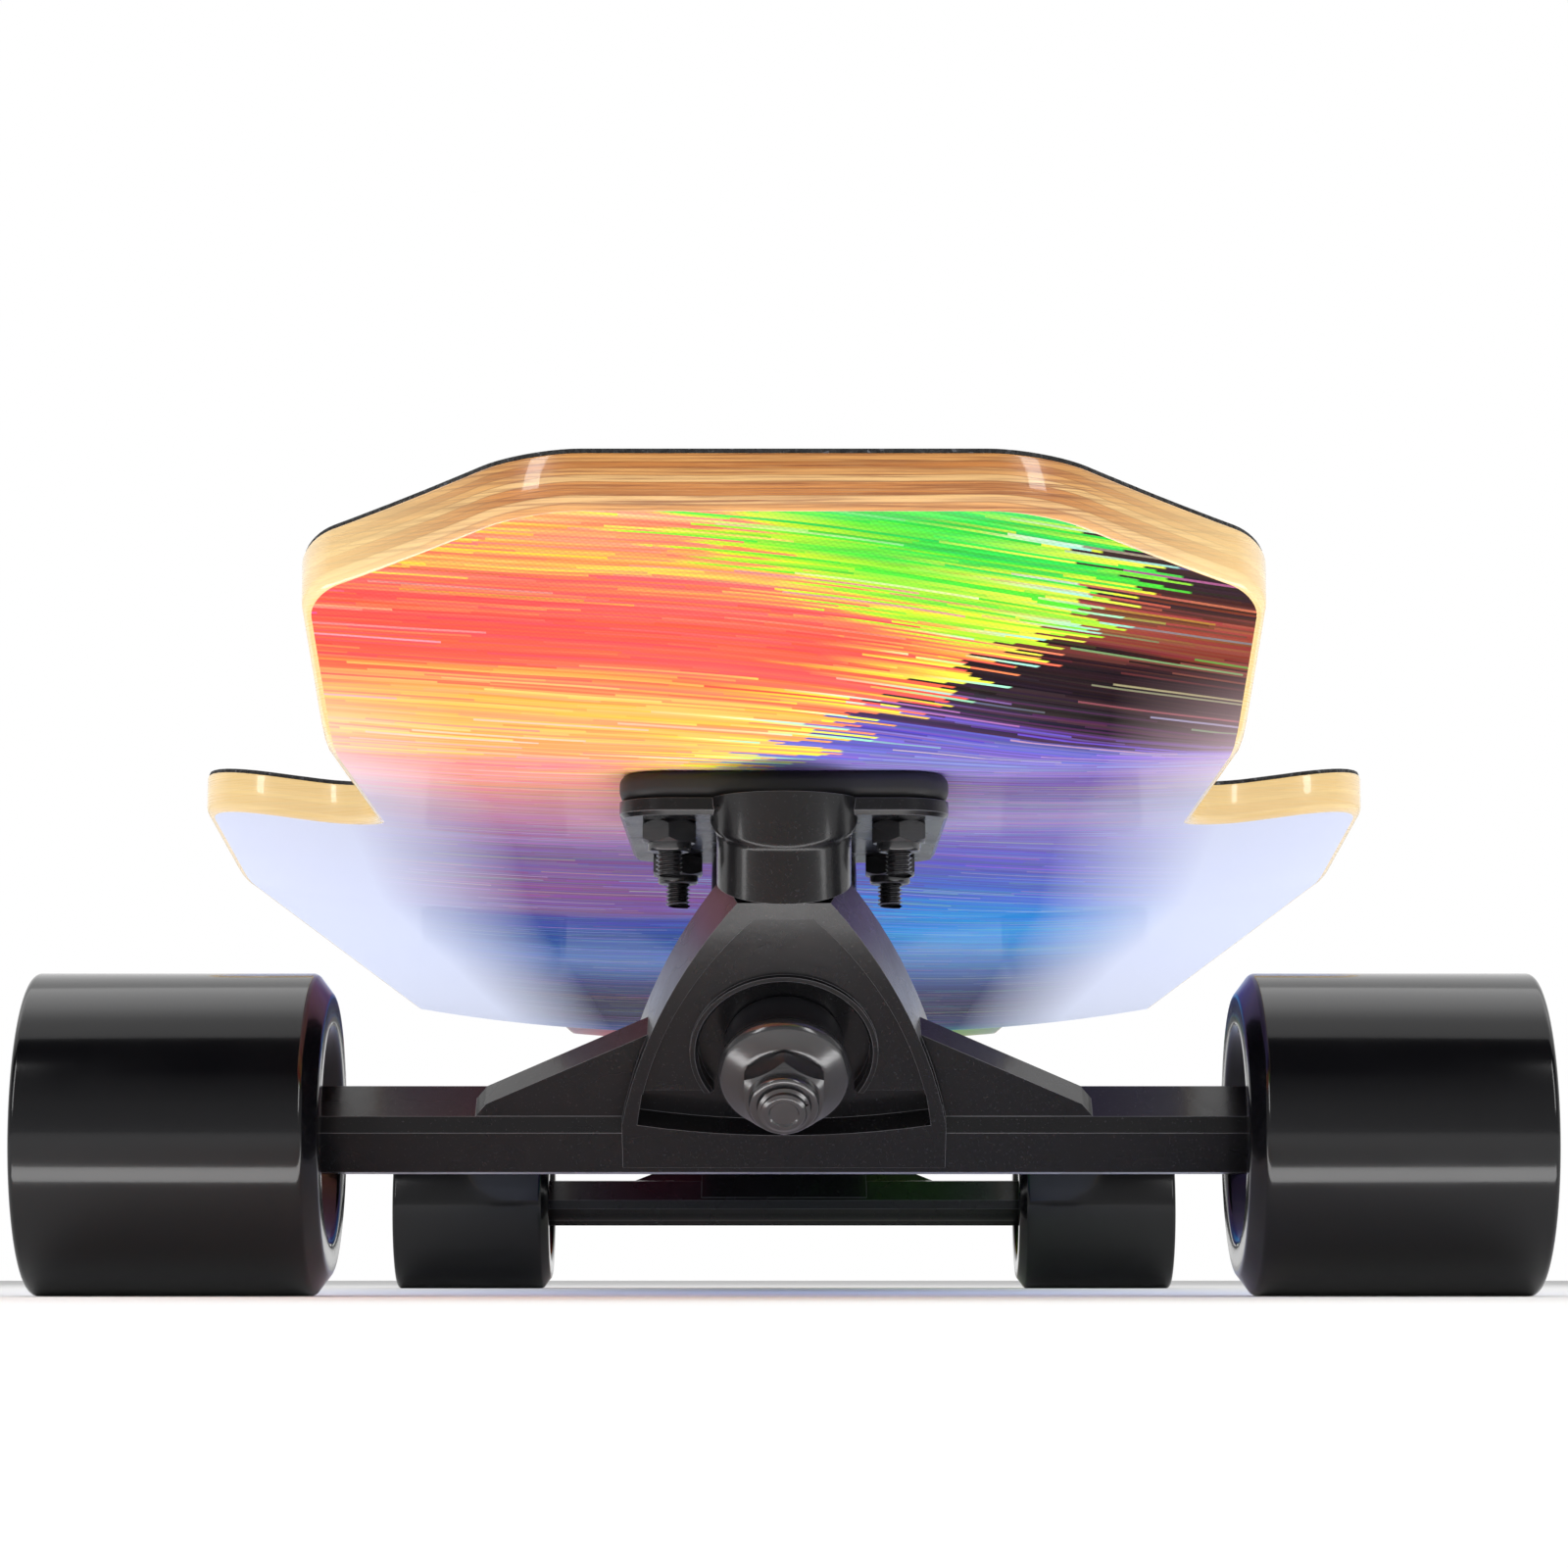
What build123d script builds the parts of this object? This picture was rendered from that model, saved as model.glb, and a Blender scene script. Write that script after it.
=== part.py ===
from build123d import *
import os
from math import asin, cos, pi, radians, sin, tan

# Longboard skateboard. Millimetres, +Z up, nose towards -Y, origin on the ground
# under the middle of the board. Left and right are the rider's, looking to the nose.

# Deck
deck_length = 1041.0
deck_width = 242.0
plate_width = 159.0          # nose and tail
neck_width = 166.0           # between the wheels
nose_flat = 82.0             # straight front edge of the nose
nose_corner = 30.0           # length of the slanting corner of the nose
deck_thickness = 8.0
grip_thickness = 0.8
concave_flat = 62.0          # flat width in the middle of the deck
concave_rise = 7.8
concave_spare = 4.0          # the swept section runs past the plan at each side
end_spare = 12.0             # and past both ends
kick_angle = 20.5
kick_radius = 55.0
kick_start = 48.5            # ahead of the axle
drop_height = 9.0            # the platform lies this much lower than the ends
drop_start = 80.0            # inboard of the axle
drop_length = 70.0
drop_radius = 140.0
cutout_inboard = 75.0        # from the axle to the shoulder of the cut-out
nose_end_radius = 26.0
nose_side_radius = 16.0
neck_radius = 13.0
shoulder_radius = 17.0

# Wheels and bearings
wheelbase = 761.0
wheel_diameter = 60.0
tread_width = 52.6
tread_offset = 8.5           # how far the bearings sit inboard of the tread's middle
inner_bevel = 3.0            # the inner edge slopes this far past the tread
inner_bevel_drop = 4.0
outer_edge_radius = 1.2
wheel_opening = 40.0
opening_lip = 1.6
core_diameter = 34.0
core_rib = 2.5
core_rib_width = 8.0
core_seat_step = 1.8
bearing_diameter = 22.0
bearing_bore = 8.0
bearing_width = 7.0
ring_wall_outer = 1.9
ring_wall_inner = 1.75
ball_diameter = 3.97
ball_count = 7
ball_clearance = 0.065
shield_thickness = 0.4
shield_inset = 0.3
shield_gap = 0.2
spacer_length = 10.0
spacer_wall = 1.0
speed_ring_thickness = 1.0
speed_ring_wall = 1.4
axle_length = 254.0
axle_nut_flats = 12.7
axle_nut_height = 7.0
axle_chamfer = 0.8

# Truck, measured along the steering axis and the kingpin from where the two cross
steer_angle = 50.0           # steering axis above the horizontal
pivot_to_axle = 23.6
hanger_half = 92.0           # half of the hanger's width
hanger_thickness = 14.0
hanger_top = 36.0
hanger_bottom = -26.0
hanger_top_width = 13.5
hanger_waist = 11.5          # height of the middle of the curved sides
hanger_waist_width = 43.0
hanger_foot = -16.0          # the curved sides end here
hanger_foot_width = 59.8
rib_width = 2.8
pocket_depth = 1.5           # the face lies this far back between the ribs
pocket_low = -9.0
hollow_depth = 5.0           # the dark hollow under the ring
hollow_sag = 2.4
hollow_taper = 1.0           # the hollow narrows by this much to its top, at each side
gusset_root = 22.0
gusset_top = 4.5
gusset_end = -13.0
gusset_width = 110.0
gusset_heel = 7.0            # the gusset's lower corner lies this far beyond its upper one
gusset_back = -1.0           # the gussets' two faces, along the kingpin
gusset_front = 4.5
web_thickness = 6.0          # the wall between the two bushings
arm_size = 13.6
arm_chamfer = 2.2
arm_lift = 1.0
arm_collar = 12.4
arm_collar_length = 4.0
road_recess = 31.4
road_recess_bevel = 0.6
ring_width = 1.5             # raised ring round the road side recess
ring_height = 0.9
board_recess = 27.0
kingpin_hole = 13.0
stem_diameter = 9.0
stem_root = 9.0              # the stem starts this far inside the hanger
stem_clearance = 0.1
cup_wall = 2.4
cup_inset = 1.0              # the cup's mouth above the housing's rim
cup_depth = 10.8
housing_diameter = 24.2
housing_start = 33.6
housing_lean = 24.0          # the casting round the pivot leans less than its bore
housing_length = 9.4
collar_diameter = 26.4
collar_slope = 2.4           # length of the sloping step up to the collar
hanger_gap = 1.6             # between the hanger's top and the pivot housing
kingpin_diameter = 9.5
kingpin_clearance = 0.15
kingpin_flats = 14.3
kingpin_head = 6.0
kingpin_nut_height = 6.5
kingpin_end = 2.0            # thread beyond the nut
kingpin_chamfer = 0.8
bushing_diameter = 22.0
board_bushing_height = 13.0
road_bushing_height = 10.0
bushing_waist = 1.2
washer_diameter = 24.4
washer_thickness = 3.0
washer_round = 2.4
washer_lip = 0.9
washer_lip_height = 1.4
kingpin_block_diameter = 28.0
kingpin_block_depth = 12.0

# Baseplate, riser and deck fasteners
base_width = 59.0
base_length = 90.0
base_ahead = 47.0            # from the axle to the front edge
base_thickness = 3.0
base_corner = 9.0
base_edge = 0.8
base_rib_width = 16.0
base_rib_gap = 11.5          # from the steering axis to the rib over the hanger
base_rib_low = 8.0
housing_ahead = 13.0         # room for the pivot housing ahead of the front edge
riser_thickness = 5.0
riser_edge = 2.0
riser_hole_clearance = 0.4
mount_height = 93.0          # underside of the deck over the trucks
bolt_spacing_across = 41.3
bolt_spacing_along = 63.5
spare_hole_step = 9.5
bolt_diameter = 4.8
bolt_clearance = 0.15
bolt_head = 9.2
bolt_head_height = 2.7
bolt_end = 5.0               # thread beyond the nut
bolt_chamfer = 0.5
driver_slot = 1.1
driver_length = 5.0
driver_depth = 1.6
nut_flats = 9.5
nut_height = 5.5
nut_collar = 1.6             # round locking collar on every lock nut
nut_collar_inset = 0.8
nut_crown = 0.56             # radius that rounds a nut's corners, in flats

# Worked out
axle_height = wheel_diameter / 2
axle_radius = bearing_bore / 2
pack_in = hanger_half + speed_ring_thickness
pack_out = pack_in + 2 * bearing_width + spacer_length
tread_mid = (pack_in + pack_out) / 2 + tread_offset
tread_in = tread_mid - tread_width / 2
wheel_in = tread_in - inner_bevel
wheel_out = tread_mid + tread_width / 2
deck_top = mount_height + deck_thickness
grip_top = deck_top + grip_thickness
base_top = mount_height - riser_thickness
base_under = base_top - base_thickness
base_mid = base_length / 2 - base_ahead
steer = radians(steer_angle)
crossing = Vector(0, -pivot_to_axle * cos(steer), axle_height + pivot_to_axle * sin(steer))
kingpin_way = Vector(0, -sin(steer), -cos(steer))
kingpin_plane = Plane(origin=crossing, x_dir=(1, 0, 0), z_dir=kingpin_way)
web_half = web_thickness / 2
road_washer_at = web_half + road_bushing_height
kingpin_nut_at = road_washer_at + washer_thickness
kingpin_tip = kingpin_nut_at + kingpin_nut_height + kingpin_end
board_washer_at = -web_half - board_bushing_height
block_face = board_washer_at - washer_thickness
head_seat = block_face - kingpin_block_depth


def placed(piece, at):
    """The piece moved from its own frame to the plane at."""
    return at.location * piece


def cylinder(radius, start, end, at=Plane.XY):
    """A solid cylinder along the plane's normal, from start to end."""
    disc = at.offset(start) * Circle(radius)
    return extrude(disc, end - start, dir=at.z_dir)


def tube(outer, inner, start, end, at=Plane.XY):
    """A cylinder with a through hole."""
    return cylinder(outer, start, end, at) - cylinder(inner, start, end, at)


def turned(points, rounded=()):
    """Revolve an outline of (length, radius) points about X, with rounded corners."""
    outline = make_face(Polyline(*points, close=True))
    for index, radius in rounded:
        corner = Vector(*points[index])
        near = min(outline.vertices(), key=lambda vertex: (Vector(vertex) - corner).length)
        outline = fillet(near, radius)
    return revolve(outline, Axis.X, 360)


def hexagon(flats, start, end, at):
    """A hexagonal prism across its flats."""
    face = at.offset(start) * RegularPolygon(flats / 2, 6, major_radius=False)
    return extrude(face, end - start, dir=at.z_dir)


def lock_nut(flats, hole, height, start, at):
    """A hexagonal nut with a round locking collar on its outer end."""
    body = hexagon(flats, start, start + height - nut_collar, at)
    body += cylinder(flats / 2 - nut_collar_inset, start + height - nut_collar, start + height, at)
    crown = cylinder(flats * nut_crown, start, start + height, at)
    return (body & crown) - cylinder(hole, start, start + height, at)


# Deck and grip tape

def concave_layer(low, high):
    """Cross-section of a layer between two heights over the deck's underside."""
    flat = concave_flat / 2
    rise_run = deck_width / 2 - flat
    radius = (rise_run**2 + concave_rise**2) / (2 * concave_rise)
    reach = asin((rise_run + concave_spare) / radius)

    def on_arc(height, angle, side):
        across = flat + (radius - height) * sin(angle)
        return (side * across, radius - (radius - height) * cos(angle))

    edges = Line((-flat, low), (flat, low)) + Line((-flat, high), (flat, high))
    for side in (-1, 1):
        for height in (low, high):
            bend = [on_arc(height, angle, side) for angle in (0, reach / 2, reach)]
            edges += ThreePointArc(*bend)
        edges += Line(on_arc(low, reach, side), on_arc(high, reach, side))
    return make_face(edges)


def side_line():
    """The underside of the deck seen from the side, a little past both ends."""
    corner = wheelbase / 2 + kick_start + kick_radius * tan(radians(kick_angle) / 2)
    end = deck_length / 2 + end_spare
    end_height = mount_height + (end - corner) * tan(radians(kick_angle))
    drop = wheelbase / 2 - drop_start
    half = [
        (-end, end_height),
        (-corner, mount_height),
        (-drop, mount_height),
        (-drop + drop_length, mount_height - drop_height),
    ]
    other = [(-y, z) for y, z in reversed(half)]
    radii = [kick_radius, drop_radius, drop_radius]
    return Plane.YZ * FilletPolyline(*half, *other, radius=radii + radii[::-1])


def deck_outline():
    """Plan of the board: nose and tail plates, wheel cut-outs and shoulders."""
    end = deck_length / 2
    shoulder = wheelbase / 2 - cutout_inboard
    quarter = [
        (nose_flat / 2, -end),
        (plate_width / 2, -end + nose_corner),
        (neck_width / 2, -shoulder),
        (deck_width / 2, -shoulder),
    ]
    radii = [nose_end_radius, nose_side_radius, neck_radius, shoulder_radius]
    side = quarter + [(x, -y) for x, y in reversed(quarter)]
    points = side + [(-x, y) for x, y in reversed(side)]
    return make_face(FilletPolyline(*points, radius=(radii + radii[::-1]) * 2, close=True))


def deck_layer(low, high):
    """A layer of the board, cut to its plan."""
    path = side_line()
    start = Plane(origin=path @ 0, x_dir=(-1, 0, 0), z_dir=path % 0)
    layer = sweep(start * concave_layer(low, high), path)
    return layer & extrude(deck_outline(), 2 * grip_top)


def bolt_places():
    """Centres of the four deck bolts of the front truck."""
    across = bolt_spacing_across / 2
    along = bolt_spacing_along / 2
    return [(x, base_mid + y) for x in (-across, across) for y in (-along, along)]


def bolt_hole(x, y):
    """Room for one countersunk bolt, from above the board to under the baseplate."""
    at = Plane(origin=(x, y, 0))
    hole = cylinder(bolt_diameter / 2 + bolt_clearance, base_under - 1, grip_top + 1, at)
    return hole + countersink(x, y) + cylinder(bolt_head / 2, grip_top, grip_top + 1, at)


def countersink(x, y):
    """The cone of a countersunk head, flush with the grip tape."""
    taper = Cone(bolt_diameter / 2, bolt_head / 2, bolt_head_height)
    return Pos(x, y, grip_top - bolt_head_height / 2) * taper


# Trucks, built with the axle over the origin of the ground plane

def front_view(points):
    """A polygon in the hanger's own plane, mirrored left to right."""
    whole = points + [(-x, y) for x, y in reversed(points)]
    return make_face(Polyline(*whole, close=True))


def shield_face(inset, bottom):
    """The hanger's front outline, narrowed by an inset and cut off at the bottom."""
    top = (hanger_top_width / 2 - inset / 2, hanger_top - 2 * inset)
    middle = (hanger_waist_width / 2 - inset, hanger_waist)
    foot = (hanger_foot_width / 2 - inset, hanger_foot)
    base = (hanger_foot_width / 2 - inset, hanger_bottom)
    side = ThreePointArc(top, middle, foot) + Line(foot, base)
    other = mirror(side, Plane.YZ)
    ends = Line(top, (-top[0], top[1])) + Line(base, (-base[0], base[1]))
    face = make_face(side + other + ends)
    return face & Pos(0, bottom + mount_height) * Rectangle(4 * mount_height, 2 * mount_height)


def hollow_face():
    """The hollow between the ribs' feet, with a sagging lower edge."""
    half = hanger_foot_width / 2 - rib_width
    low = ThreePointArc((-half, hanger_foot), (0, hanger_foot - hollow_sag), (half, hanger_foot))
    top = half - hollow_taper
    sides = Line((half, hanger_foot), (top, pocket_low)) + Line((-half, hanger_foot), (-top, pocket_low))
    return make_face(low + sides + Line((top, pocket_low), (-top, pocket_low)))


def front_pocket(face, front, depth):
    """What a pocket of some depth takes out of the hanger's front."""
    return extrude(kingpin_plane.offset(front - depth) * face, depth + 1, dir=kingpin_way)


def slab(face, thickness):
    """A face of the hanger's plane made into a plate about that plane."""
    return extrude(kingpin_plane * face, thickness / 2, both=True)


def steer_plane(height):
    """Plane across the steering axis, at a height along it."""
    up = kingpin_plane.y_dir
    return Plane(origin=crossing + up * height, x_dir=(1, 0, 0), z_dir=up)


def stem_shape(radius, start, end):
    """Round-nosed stem on the steering axis."""
    stem = cylinder(radius, start, end - radius, steer_plane(0))
    return stem + placed(Sphere(radius), steer_plane(end - radius))


def hanger():
    arm_mid = arm_lift - pivot_to_axle
    gusset = front_view([
        (gusset_root, gusset_top),
        (gusset_width / 2, gusset_end),
        (gusset_width / 2 + gusset_heel, arm_mid),
    ])
    body = slab(shield_face(0, hanger_bottom), hanger_thickness)
    body += extrude(kingpin_plane.offset(gusset_back) * gusset, gusset_front - gusset_back,
                    dir=kingpin_way)
    beam = chamfer(Rectangle(arm_size, arm_size).vertices(), arm_chamfer)
    up = kingpin_plane.y_dir
    arm_at = Plane(origin=crossing + up * arm_mid, x_dir=up, z_dir=(1, 0, 0))
    body += extrude(arm_at * beam, hanger_half - arm_collar_length, both=True)
    body += cylinder(arm_collar / 2, -hanger_half, hanger_half, axle_plane())
    under_housing = cylinder(hanger_thickness * 2, -hanger_gap, hanger_thickness * 2, housing_plane())
    body -= under_housing
    body += stem_shape(stem_diameter / 2, hanger_top - stem_root, housing_start + cup_depth - cup_wall)
    face = hanger_thickness / 2
    body -= front_pocket(shield_face(rib_width, pocket_low), face, pocket_depth)
    ring_top = face - pocket_depth + ring_height
    body += tube(road_recess / 2 + ring_width, road_recess / 2, web_half, ring_top, kingpin_plane)
    body -= front_pocket(hollow_face(), face, hollow_depth)
    body -= cylinder(kingpin_hole / 2, -face, face, kingpin_plane)
    body -= cylinder(road_recess / 2, web_half, face, kingpin_plane)
    body -= cylinder(board_recess / 2, -face, -web_half, kingpin_plane)
    bevel = Cone(road_recess / 2, road_recess / 2 + road_recess_bevel, road_recess_bevel)
    body -= placed(bevel, kingpin_plane.offset(ring_top - road_recess_bevel / 2))
    return body - cylinder(axle_radius, -hanger_half, hanger_half, axle_plane())


def axle_plane():
    """Plane across the axle, its normal along +X."""
    return Plane(origin=(0, 0, axle_height), x_dir=(0, 1, 0), z_dir=(1, 0, 0))


def axle():
    rod = cylinder(axle_radius, -axle_length / 2, axle_length / 2, axle_plane())
    ends = rod.edges().filter_by(GeomType.CIRCLE)
    return chamfer(ends, axle_chamfer)


def housing_plane():
    """Plane of the pivot housing's lower rim."""
    lean = radians(housing_lean)
    return Plane(origin=steer_plane(housing_start).origin, x_dir=(1, 0, 0), z_dir=(0, -sin(lean), cos(lean)))


def baseplate():
    plate = Pos(0, base_mid, base_under) * extrude(
        RectangleRounded(base_width, base_length, base_corner), base_thickness)
    plate = chamfer(plate.edges().group_by(Axis.Z)[0], base_edge)
    reach = 2 * mount_height
    collar_at = housing_length + collar_slope
    casting = cylinder(housing_diameter / 2, 0, housing_length, housing_plane())
    casting += cylinder(collar_diameter / 2, collar_at, reach, housing_plane())
    slope = Cone(housing_diameter / 2, collar_diameter / 2, collar_slope)
    casting += placed(slope, housing_plane().offset(housing_length + collar_slope / 2))
    casting += cylinder(kingpin_block_diameter / 2, -reach, block_face, kingpin_plane)
    rib = [(base_rib_low, block_face - 1), (housing_start, -base_rib_gap), (reach, -base_rib_gap),
           (reach, -reach), (base_rib_low, -reach)]
    side = Plane(origin=crossing, x_dir=kingpin_plane.y_dir, z_dir=(1, 0, 0))
    web = make_face(Polyline(*rib, close=True))
    casting += extrude(side * web, base_rib_width / 2, both=True)
    room = Box(base_width, base_length + housing_ahead, base_top, align=(Align.CENTER, Align.MIN, Align.MIN))
    casting &= Pos(0, -base_ahead - housing_ahead, 0) * room
    body = plate + casting
    body -= cylinder(kingpin_diameter / 2 + kingpin_clearance, head_seat - 1, block_face, kingpin_plane)
    body -= hexagon(kingpin_flats + 2 * kingpin_clearance, -reach, head_seat, kingpin_plane)
    mouth = stem_diameter / 2 + cup_wall
    body -= cylinder(mouth, 0, housing_start + cup_depth, steer_plane(0))
    for x, y in bolt_places():
        body -= cylinder(bolt_diameter / 2 + bolt_clearance, base_under - 1, base_top + 1,
                         Plane(origin=(x, y, 0)))
        if y < base_mid:
            body -= cylinder(bolt_diameter / 2 + bolt_clearance, base_under - 1, base_top + 1,
                             Plane(origin=(x, y + spare_hole_step, 0)))
    return body


def cup_outside():
    """Outer shape of the pivot cup, which is also its seat."""
    radius = stem_diameter / 2 + cup_wall
    return cylinder(radius, housing_start + cup_inset, housing_start + cup_depth, steer_plane(0))


def pivot_cup():
    stem_end = housing_start + cup_depth - cup_wall + stem_clearance
    return cup_outside() - stem_shape(stem_diameter / 2 + stem_clearance, 0, stem_end)


def kingpin():
    rod = cylinder(kingpin_diameter / 2, head_seat, kingpin_tip, kingpin_plane)
    tip = rod.faces().sort_by(Axis(crossing, kingpin_way))[-1].edges()
    rod = chamfer(tip, kingpin_chamfer)
    return rod + hexagon(kingpin_flats, head_seat - kingpin_head, head_seat, kingpin_plane)


def bushing(start, end):
    """Barrel bushing with a slight waist round its middle."""
    hole = kingpin_diameter / 2 + kingpin_clearance
    body = tube(bushing_diameter / 2, hole, start, end, kingpin_plane)
    groove = Torus(bushing_diameter / 2 + bushing_waist, 2 * bushing_waist)
    return body - placed(groove, kingpin_plane.offset((start + end) / 2))


def cup_washer(start, lip_way):
    """Dished washer whose lip holds the end of a bushing."""
    end = start + washer_thickness
    hole = kingpin_diameter / 2 + kingpin_clearance
    body = cylinder(washer_diameter / 2, start, end, kingpin_plane)
    way = Axis(kingpin_plane.origin, kingpin_way)
    crown = body.faces().sort_by(way)[0 if lip_way > 0 else -1]
    body = fillet(crown.edges(), washer_round) - cylinder(hole, start, end, kingpin_plane)
    lip_start = start if lip_way < 0 else end
    lip_end = lip_start + lip_way * washer_lip_height
    lip_in = washer_diameter / 2 - washer_lip
    low, high = sorted((lip_start, lip_end))
    return body + tube(washer_diameter / 2, lip_in, low, high, kingpin_plane)


def riser_pad():
    pad = Pos(0, base_mid, base_top) * extrude(
        RectangleRounded(base_width, base_length, base_corner), riser_thickness)
    pad = fillet(pad.edges().group_by(Axis.Z)[0] + pad.edges().group_by(Axis.Z)[-1], riser_edge)
    for x, y in bolt_places():
        pad -= cylinder(bolt_diameter / 2 + riser_hole_clearance, base_top - 1, mount_height + 1,
                        Plane(origin=(x, y, 0)))
    return pad


def deck_bolt(x, y):
    at = Plane(origin=(x, y, 0))
    end = base_under - nut_height - bolt_end
    rod = cylinder(bolt_diameter / 2, end, grip_top - bolt_head_height, at)
    rod = chamfer(rod.edges().group_by(Axis.Z)[0], bolt_chamfer) + countersink(x, y)
    for turn in (0, 90):
        slot = Rot(0, 0, turn) * Box(driver_length, driver_slot, 2 * driver_depth)
        rod -= Pos(x, y, grip_top) * slot
    return rod


def deck_nut(x, y):
    at = Plane(origin=(x, y, base_under), x_dir=(1, 0, 0), z_dir=(0, 0, -1))
    return lock_nut(nut_flats, bolt_diameter / 2, nut_height, 0, at)


# Wheel on the +X end of the axle, along X with the axle at radius 0

def tyre():
    ring = core_diameter / 2
    mid = (pack_in + pack_out) / 2
    groove = core_rib_width / 2
    return turned([
        (wheel_in, wheel_opening / 2),
        (wheel_in, wheel_diameter / 2 - inner_bevel_drop),
        (tread_in, wheel_diameter / 2),
        (wheel_out, wheel_diameter / 2),
        (wheel_out, wheel_opening / 2),
        (pack_out, ring),
        (mid + groove, ring),
        (mid + groove, ring + core_rib),
        (mid - groove, ring + core_rib),
        (mid - groove, ring),
        (pack_in, ring),
    ], rounded=((0, opening_lip), (1, opening_lip), (2, opening_lip), (3, outer_edge_radius),
                (4, opening_lip)))


def core():
    ring = core_diameter / 2
    mid = (pack_in + pack_out) / 2
    rib = core_rib_width / 2
    half = spacer_length / 2
    seat = bearing_diameter / 2
    return turned([
        (pack_in, seat), (pack_in, ring), (mid - rib, ring), (mid - rib, ring + core_rib),
        (mid + rib, ring + core_rib), (mid + rib, ring), (pack_out, ring), (pack_out, seat),
        (mid + half, seat), (mid + half, seat - core_seat_step),
        (mid - half, seat - core_seat_step), (mid - half, seat),
    ])


def bearing_starts():
    return (pack_in, pack_out - bearing_width)


def pitch_radius():
    """Middle of the gap between the two rings of a bearing."""
    return (bearing_diameter / 2 - ring_wall_outer + axle_radius + ring_wall_inner) / 2


def wheel_tube(outer, inner, start, end):
    return turned([(start, inner), (start, outer), (end, outer), (end, inner)])


def race(start):
    """Room for the balls of one bearing."""
    groove = Torus(pitch_radius(), ball_diameter / 2 + ball_clearance)
    return Pos(start + bearing_width / 2, 0, 0) * Rot(0, 90, 0) * groove


def outer_rings():
    inside = bearing_diameter / 2 - ring_wall_outer
    return [wheel_tube(bearing_diameter / 2, inside, start, start + bearing_width) - race(start)
            for start in bearing_starts()]


def inner_rings():
    outside = axle_radius + ring_wall_inner
    return [wheel_tube(outside, axle_radius, start, start + bearing_width) - race(start)
            for start in bearing_starts()]


def balls():
    found = []
    for start in bearing_starts():
        for number in range(ball_count):
            angle = 2 * pi * number / ball_count
            across = pitch_radius() * sin(angle)
            up = pitch_radius() * cos(angle)
            found.append(Pos(start + bearing_width / 2, across, up) * Sphere(ball_diameter / 2))
    return found


def shields():
    outside = bearing_diameter / 2 - ring_wall_outer
    inside = axle_radius + ring_wall_inner + shield_gap
    found = []
    for start in bearing_starts():
        for low in (start + shield_inset, start + bearing_width - shield_inset - shield_thickness):
            found.append(wheel_tube(outside, inside, low, low + shield_thickness))
    return found


def spacer():
    low = pack_in + bearing_width
    return wheel_tube(axle_radius + spacer_wall, axle_radius, low, low + spacer_length)


def speed_rings():
    wall = axle_radius + speed_ring_wall
    inner = wheel_tube(wall, axle_radius, hanger_half, pack_in)
    outer = wheel_tube(wall, axle_radius, pack_out, pack_out + speed_ring_thickness)
    return [inner, outer]


def axle_nut():
    at = Plane(origin=(0, 0, 0), x_dir=(0, 1, 0), z_dir=(1, 0, 0))
    return lock_nut(axle_nut_flats, axle_radius, axle_nut_height, pack_out + speed_ring_thickness, at)


# Placing and writing

def save(name, solids):
    """One file for each node. Separate solids stay separate."""
    found = [solid for piece in solids for solid in piece.solids()]
    shape = found[0] if len(found) == 1 else Compound(children=found)
    export_step(shape, f"parts/{name}.step")
    print(name, len(found), "solids", round(sum(solid.volume for solid in found)), "mm3")


def deck_and_grip():
    deck = deck_layer(0, deck_thickness)
    grip = deck_layer(deck_thickness, deck_thickness + grip_thickness)
    for turn in (0, 180):
        for x, y in bolt_places():
            hole = Rot(0, 0, turn) * Pos(0, -wheelbase / 2, 0) * bolt_hole(x, y)
            deck -= hole
            grip -= hole
    save("deck", [deck])
    save("grip_tape", [grip])


def save_truck(end, to_truck):
    """The pieces of one truck, without its wheels."""
    sides = [Pos(0, 0, axle_height), Rot(0, 0, 180) * Pos(0, 0, axle_height)]
    pieces = {
        "riser_pad": [riser_pad()],
        "baseplate": [baseplate()],
        "pivot_cup": [pivot_cup()],
        "kingpin": [kingpin()],
        "kingpin_nut": [lock_nut(kingpin_flats, kingpin_diameter / 2, kingpin_nut_height,
                                 kingpin_nut_at, kingpin_plane)],
        "bushing_board": [bushing(board_washer_at, -web_half)],
        "bushing_road": [bushing(web_half, road_washer_at)],
        "washer_board": [cup_washer(block_face, 1)],
        "washer_road": [cup_washer(road_washer_at, -1)],
        "hanger": [hanger()],
        "axle": [axle()],
        "axle_nuts": [side * axle_nut() for side in sides],
        "speed_rings": [side * ring for side in sides for ring in speed_rings()],
        "deck_bolts": [deck_bolt(x, y) for x, y in bolt_places()],
        "deck_nuts": [deck_nut(x, y) for x, y in bolt_places()],
    }
    for name, solids in pieces.items():
        save(f"{end}_{name}", [to_truck * solid for solid in solids])


def save_wheel(name, to_wheel):
    """The pieces of one wheel and of the bearings that it turns on."""
    pieces = {
        "tyre": [tyre()],
        "core": [core()],
        "bearing_outer_rings": outer_rings(),
        "bearing_inner_rings": inner_rings(),
        "bearing_balls": balls(),
        "bearing_shields": shields(),
        "spacer": [spacer()],
    }
    for piece, solids in pieces.items():
        save(f"{name}_{piece}", [to_wheel * solid for solid in solids])


os.makedirs("parts", exist_ok=True)
deck_and_grip()
for end, turn in (("front", 0), ("rear", 180)):
    to_truck = Rot(0, 0, turn) * Pos(0, -wheelbase / 2, 0)
    save_truck(end, to_truck)
    for side, side_turn in (("left", 0), ("right", 180)):
        wheel_side = side if turn == 0 else {"left": "right", "right": "left"}[side]
        lift = Pos(0, 0, axle_height)
        save_wheel(f"{end}_{wheel_side}", to_truck * Rot(0, 0, side_turn) * lift)
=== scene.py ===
import math

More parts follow.
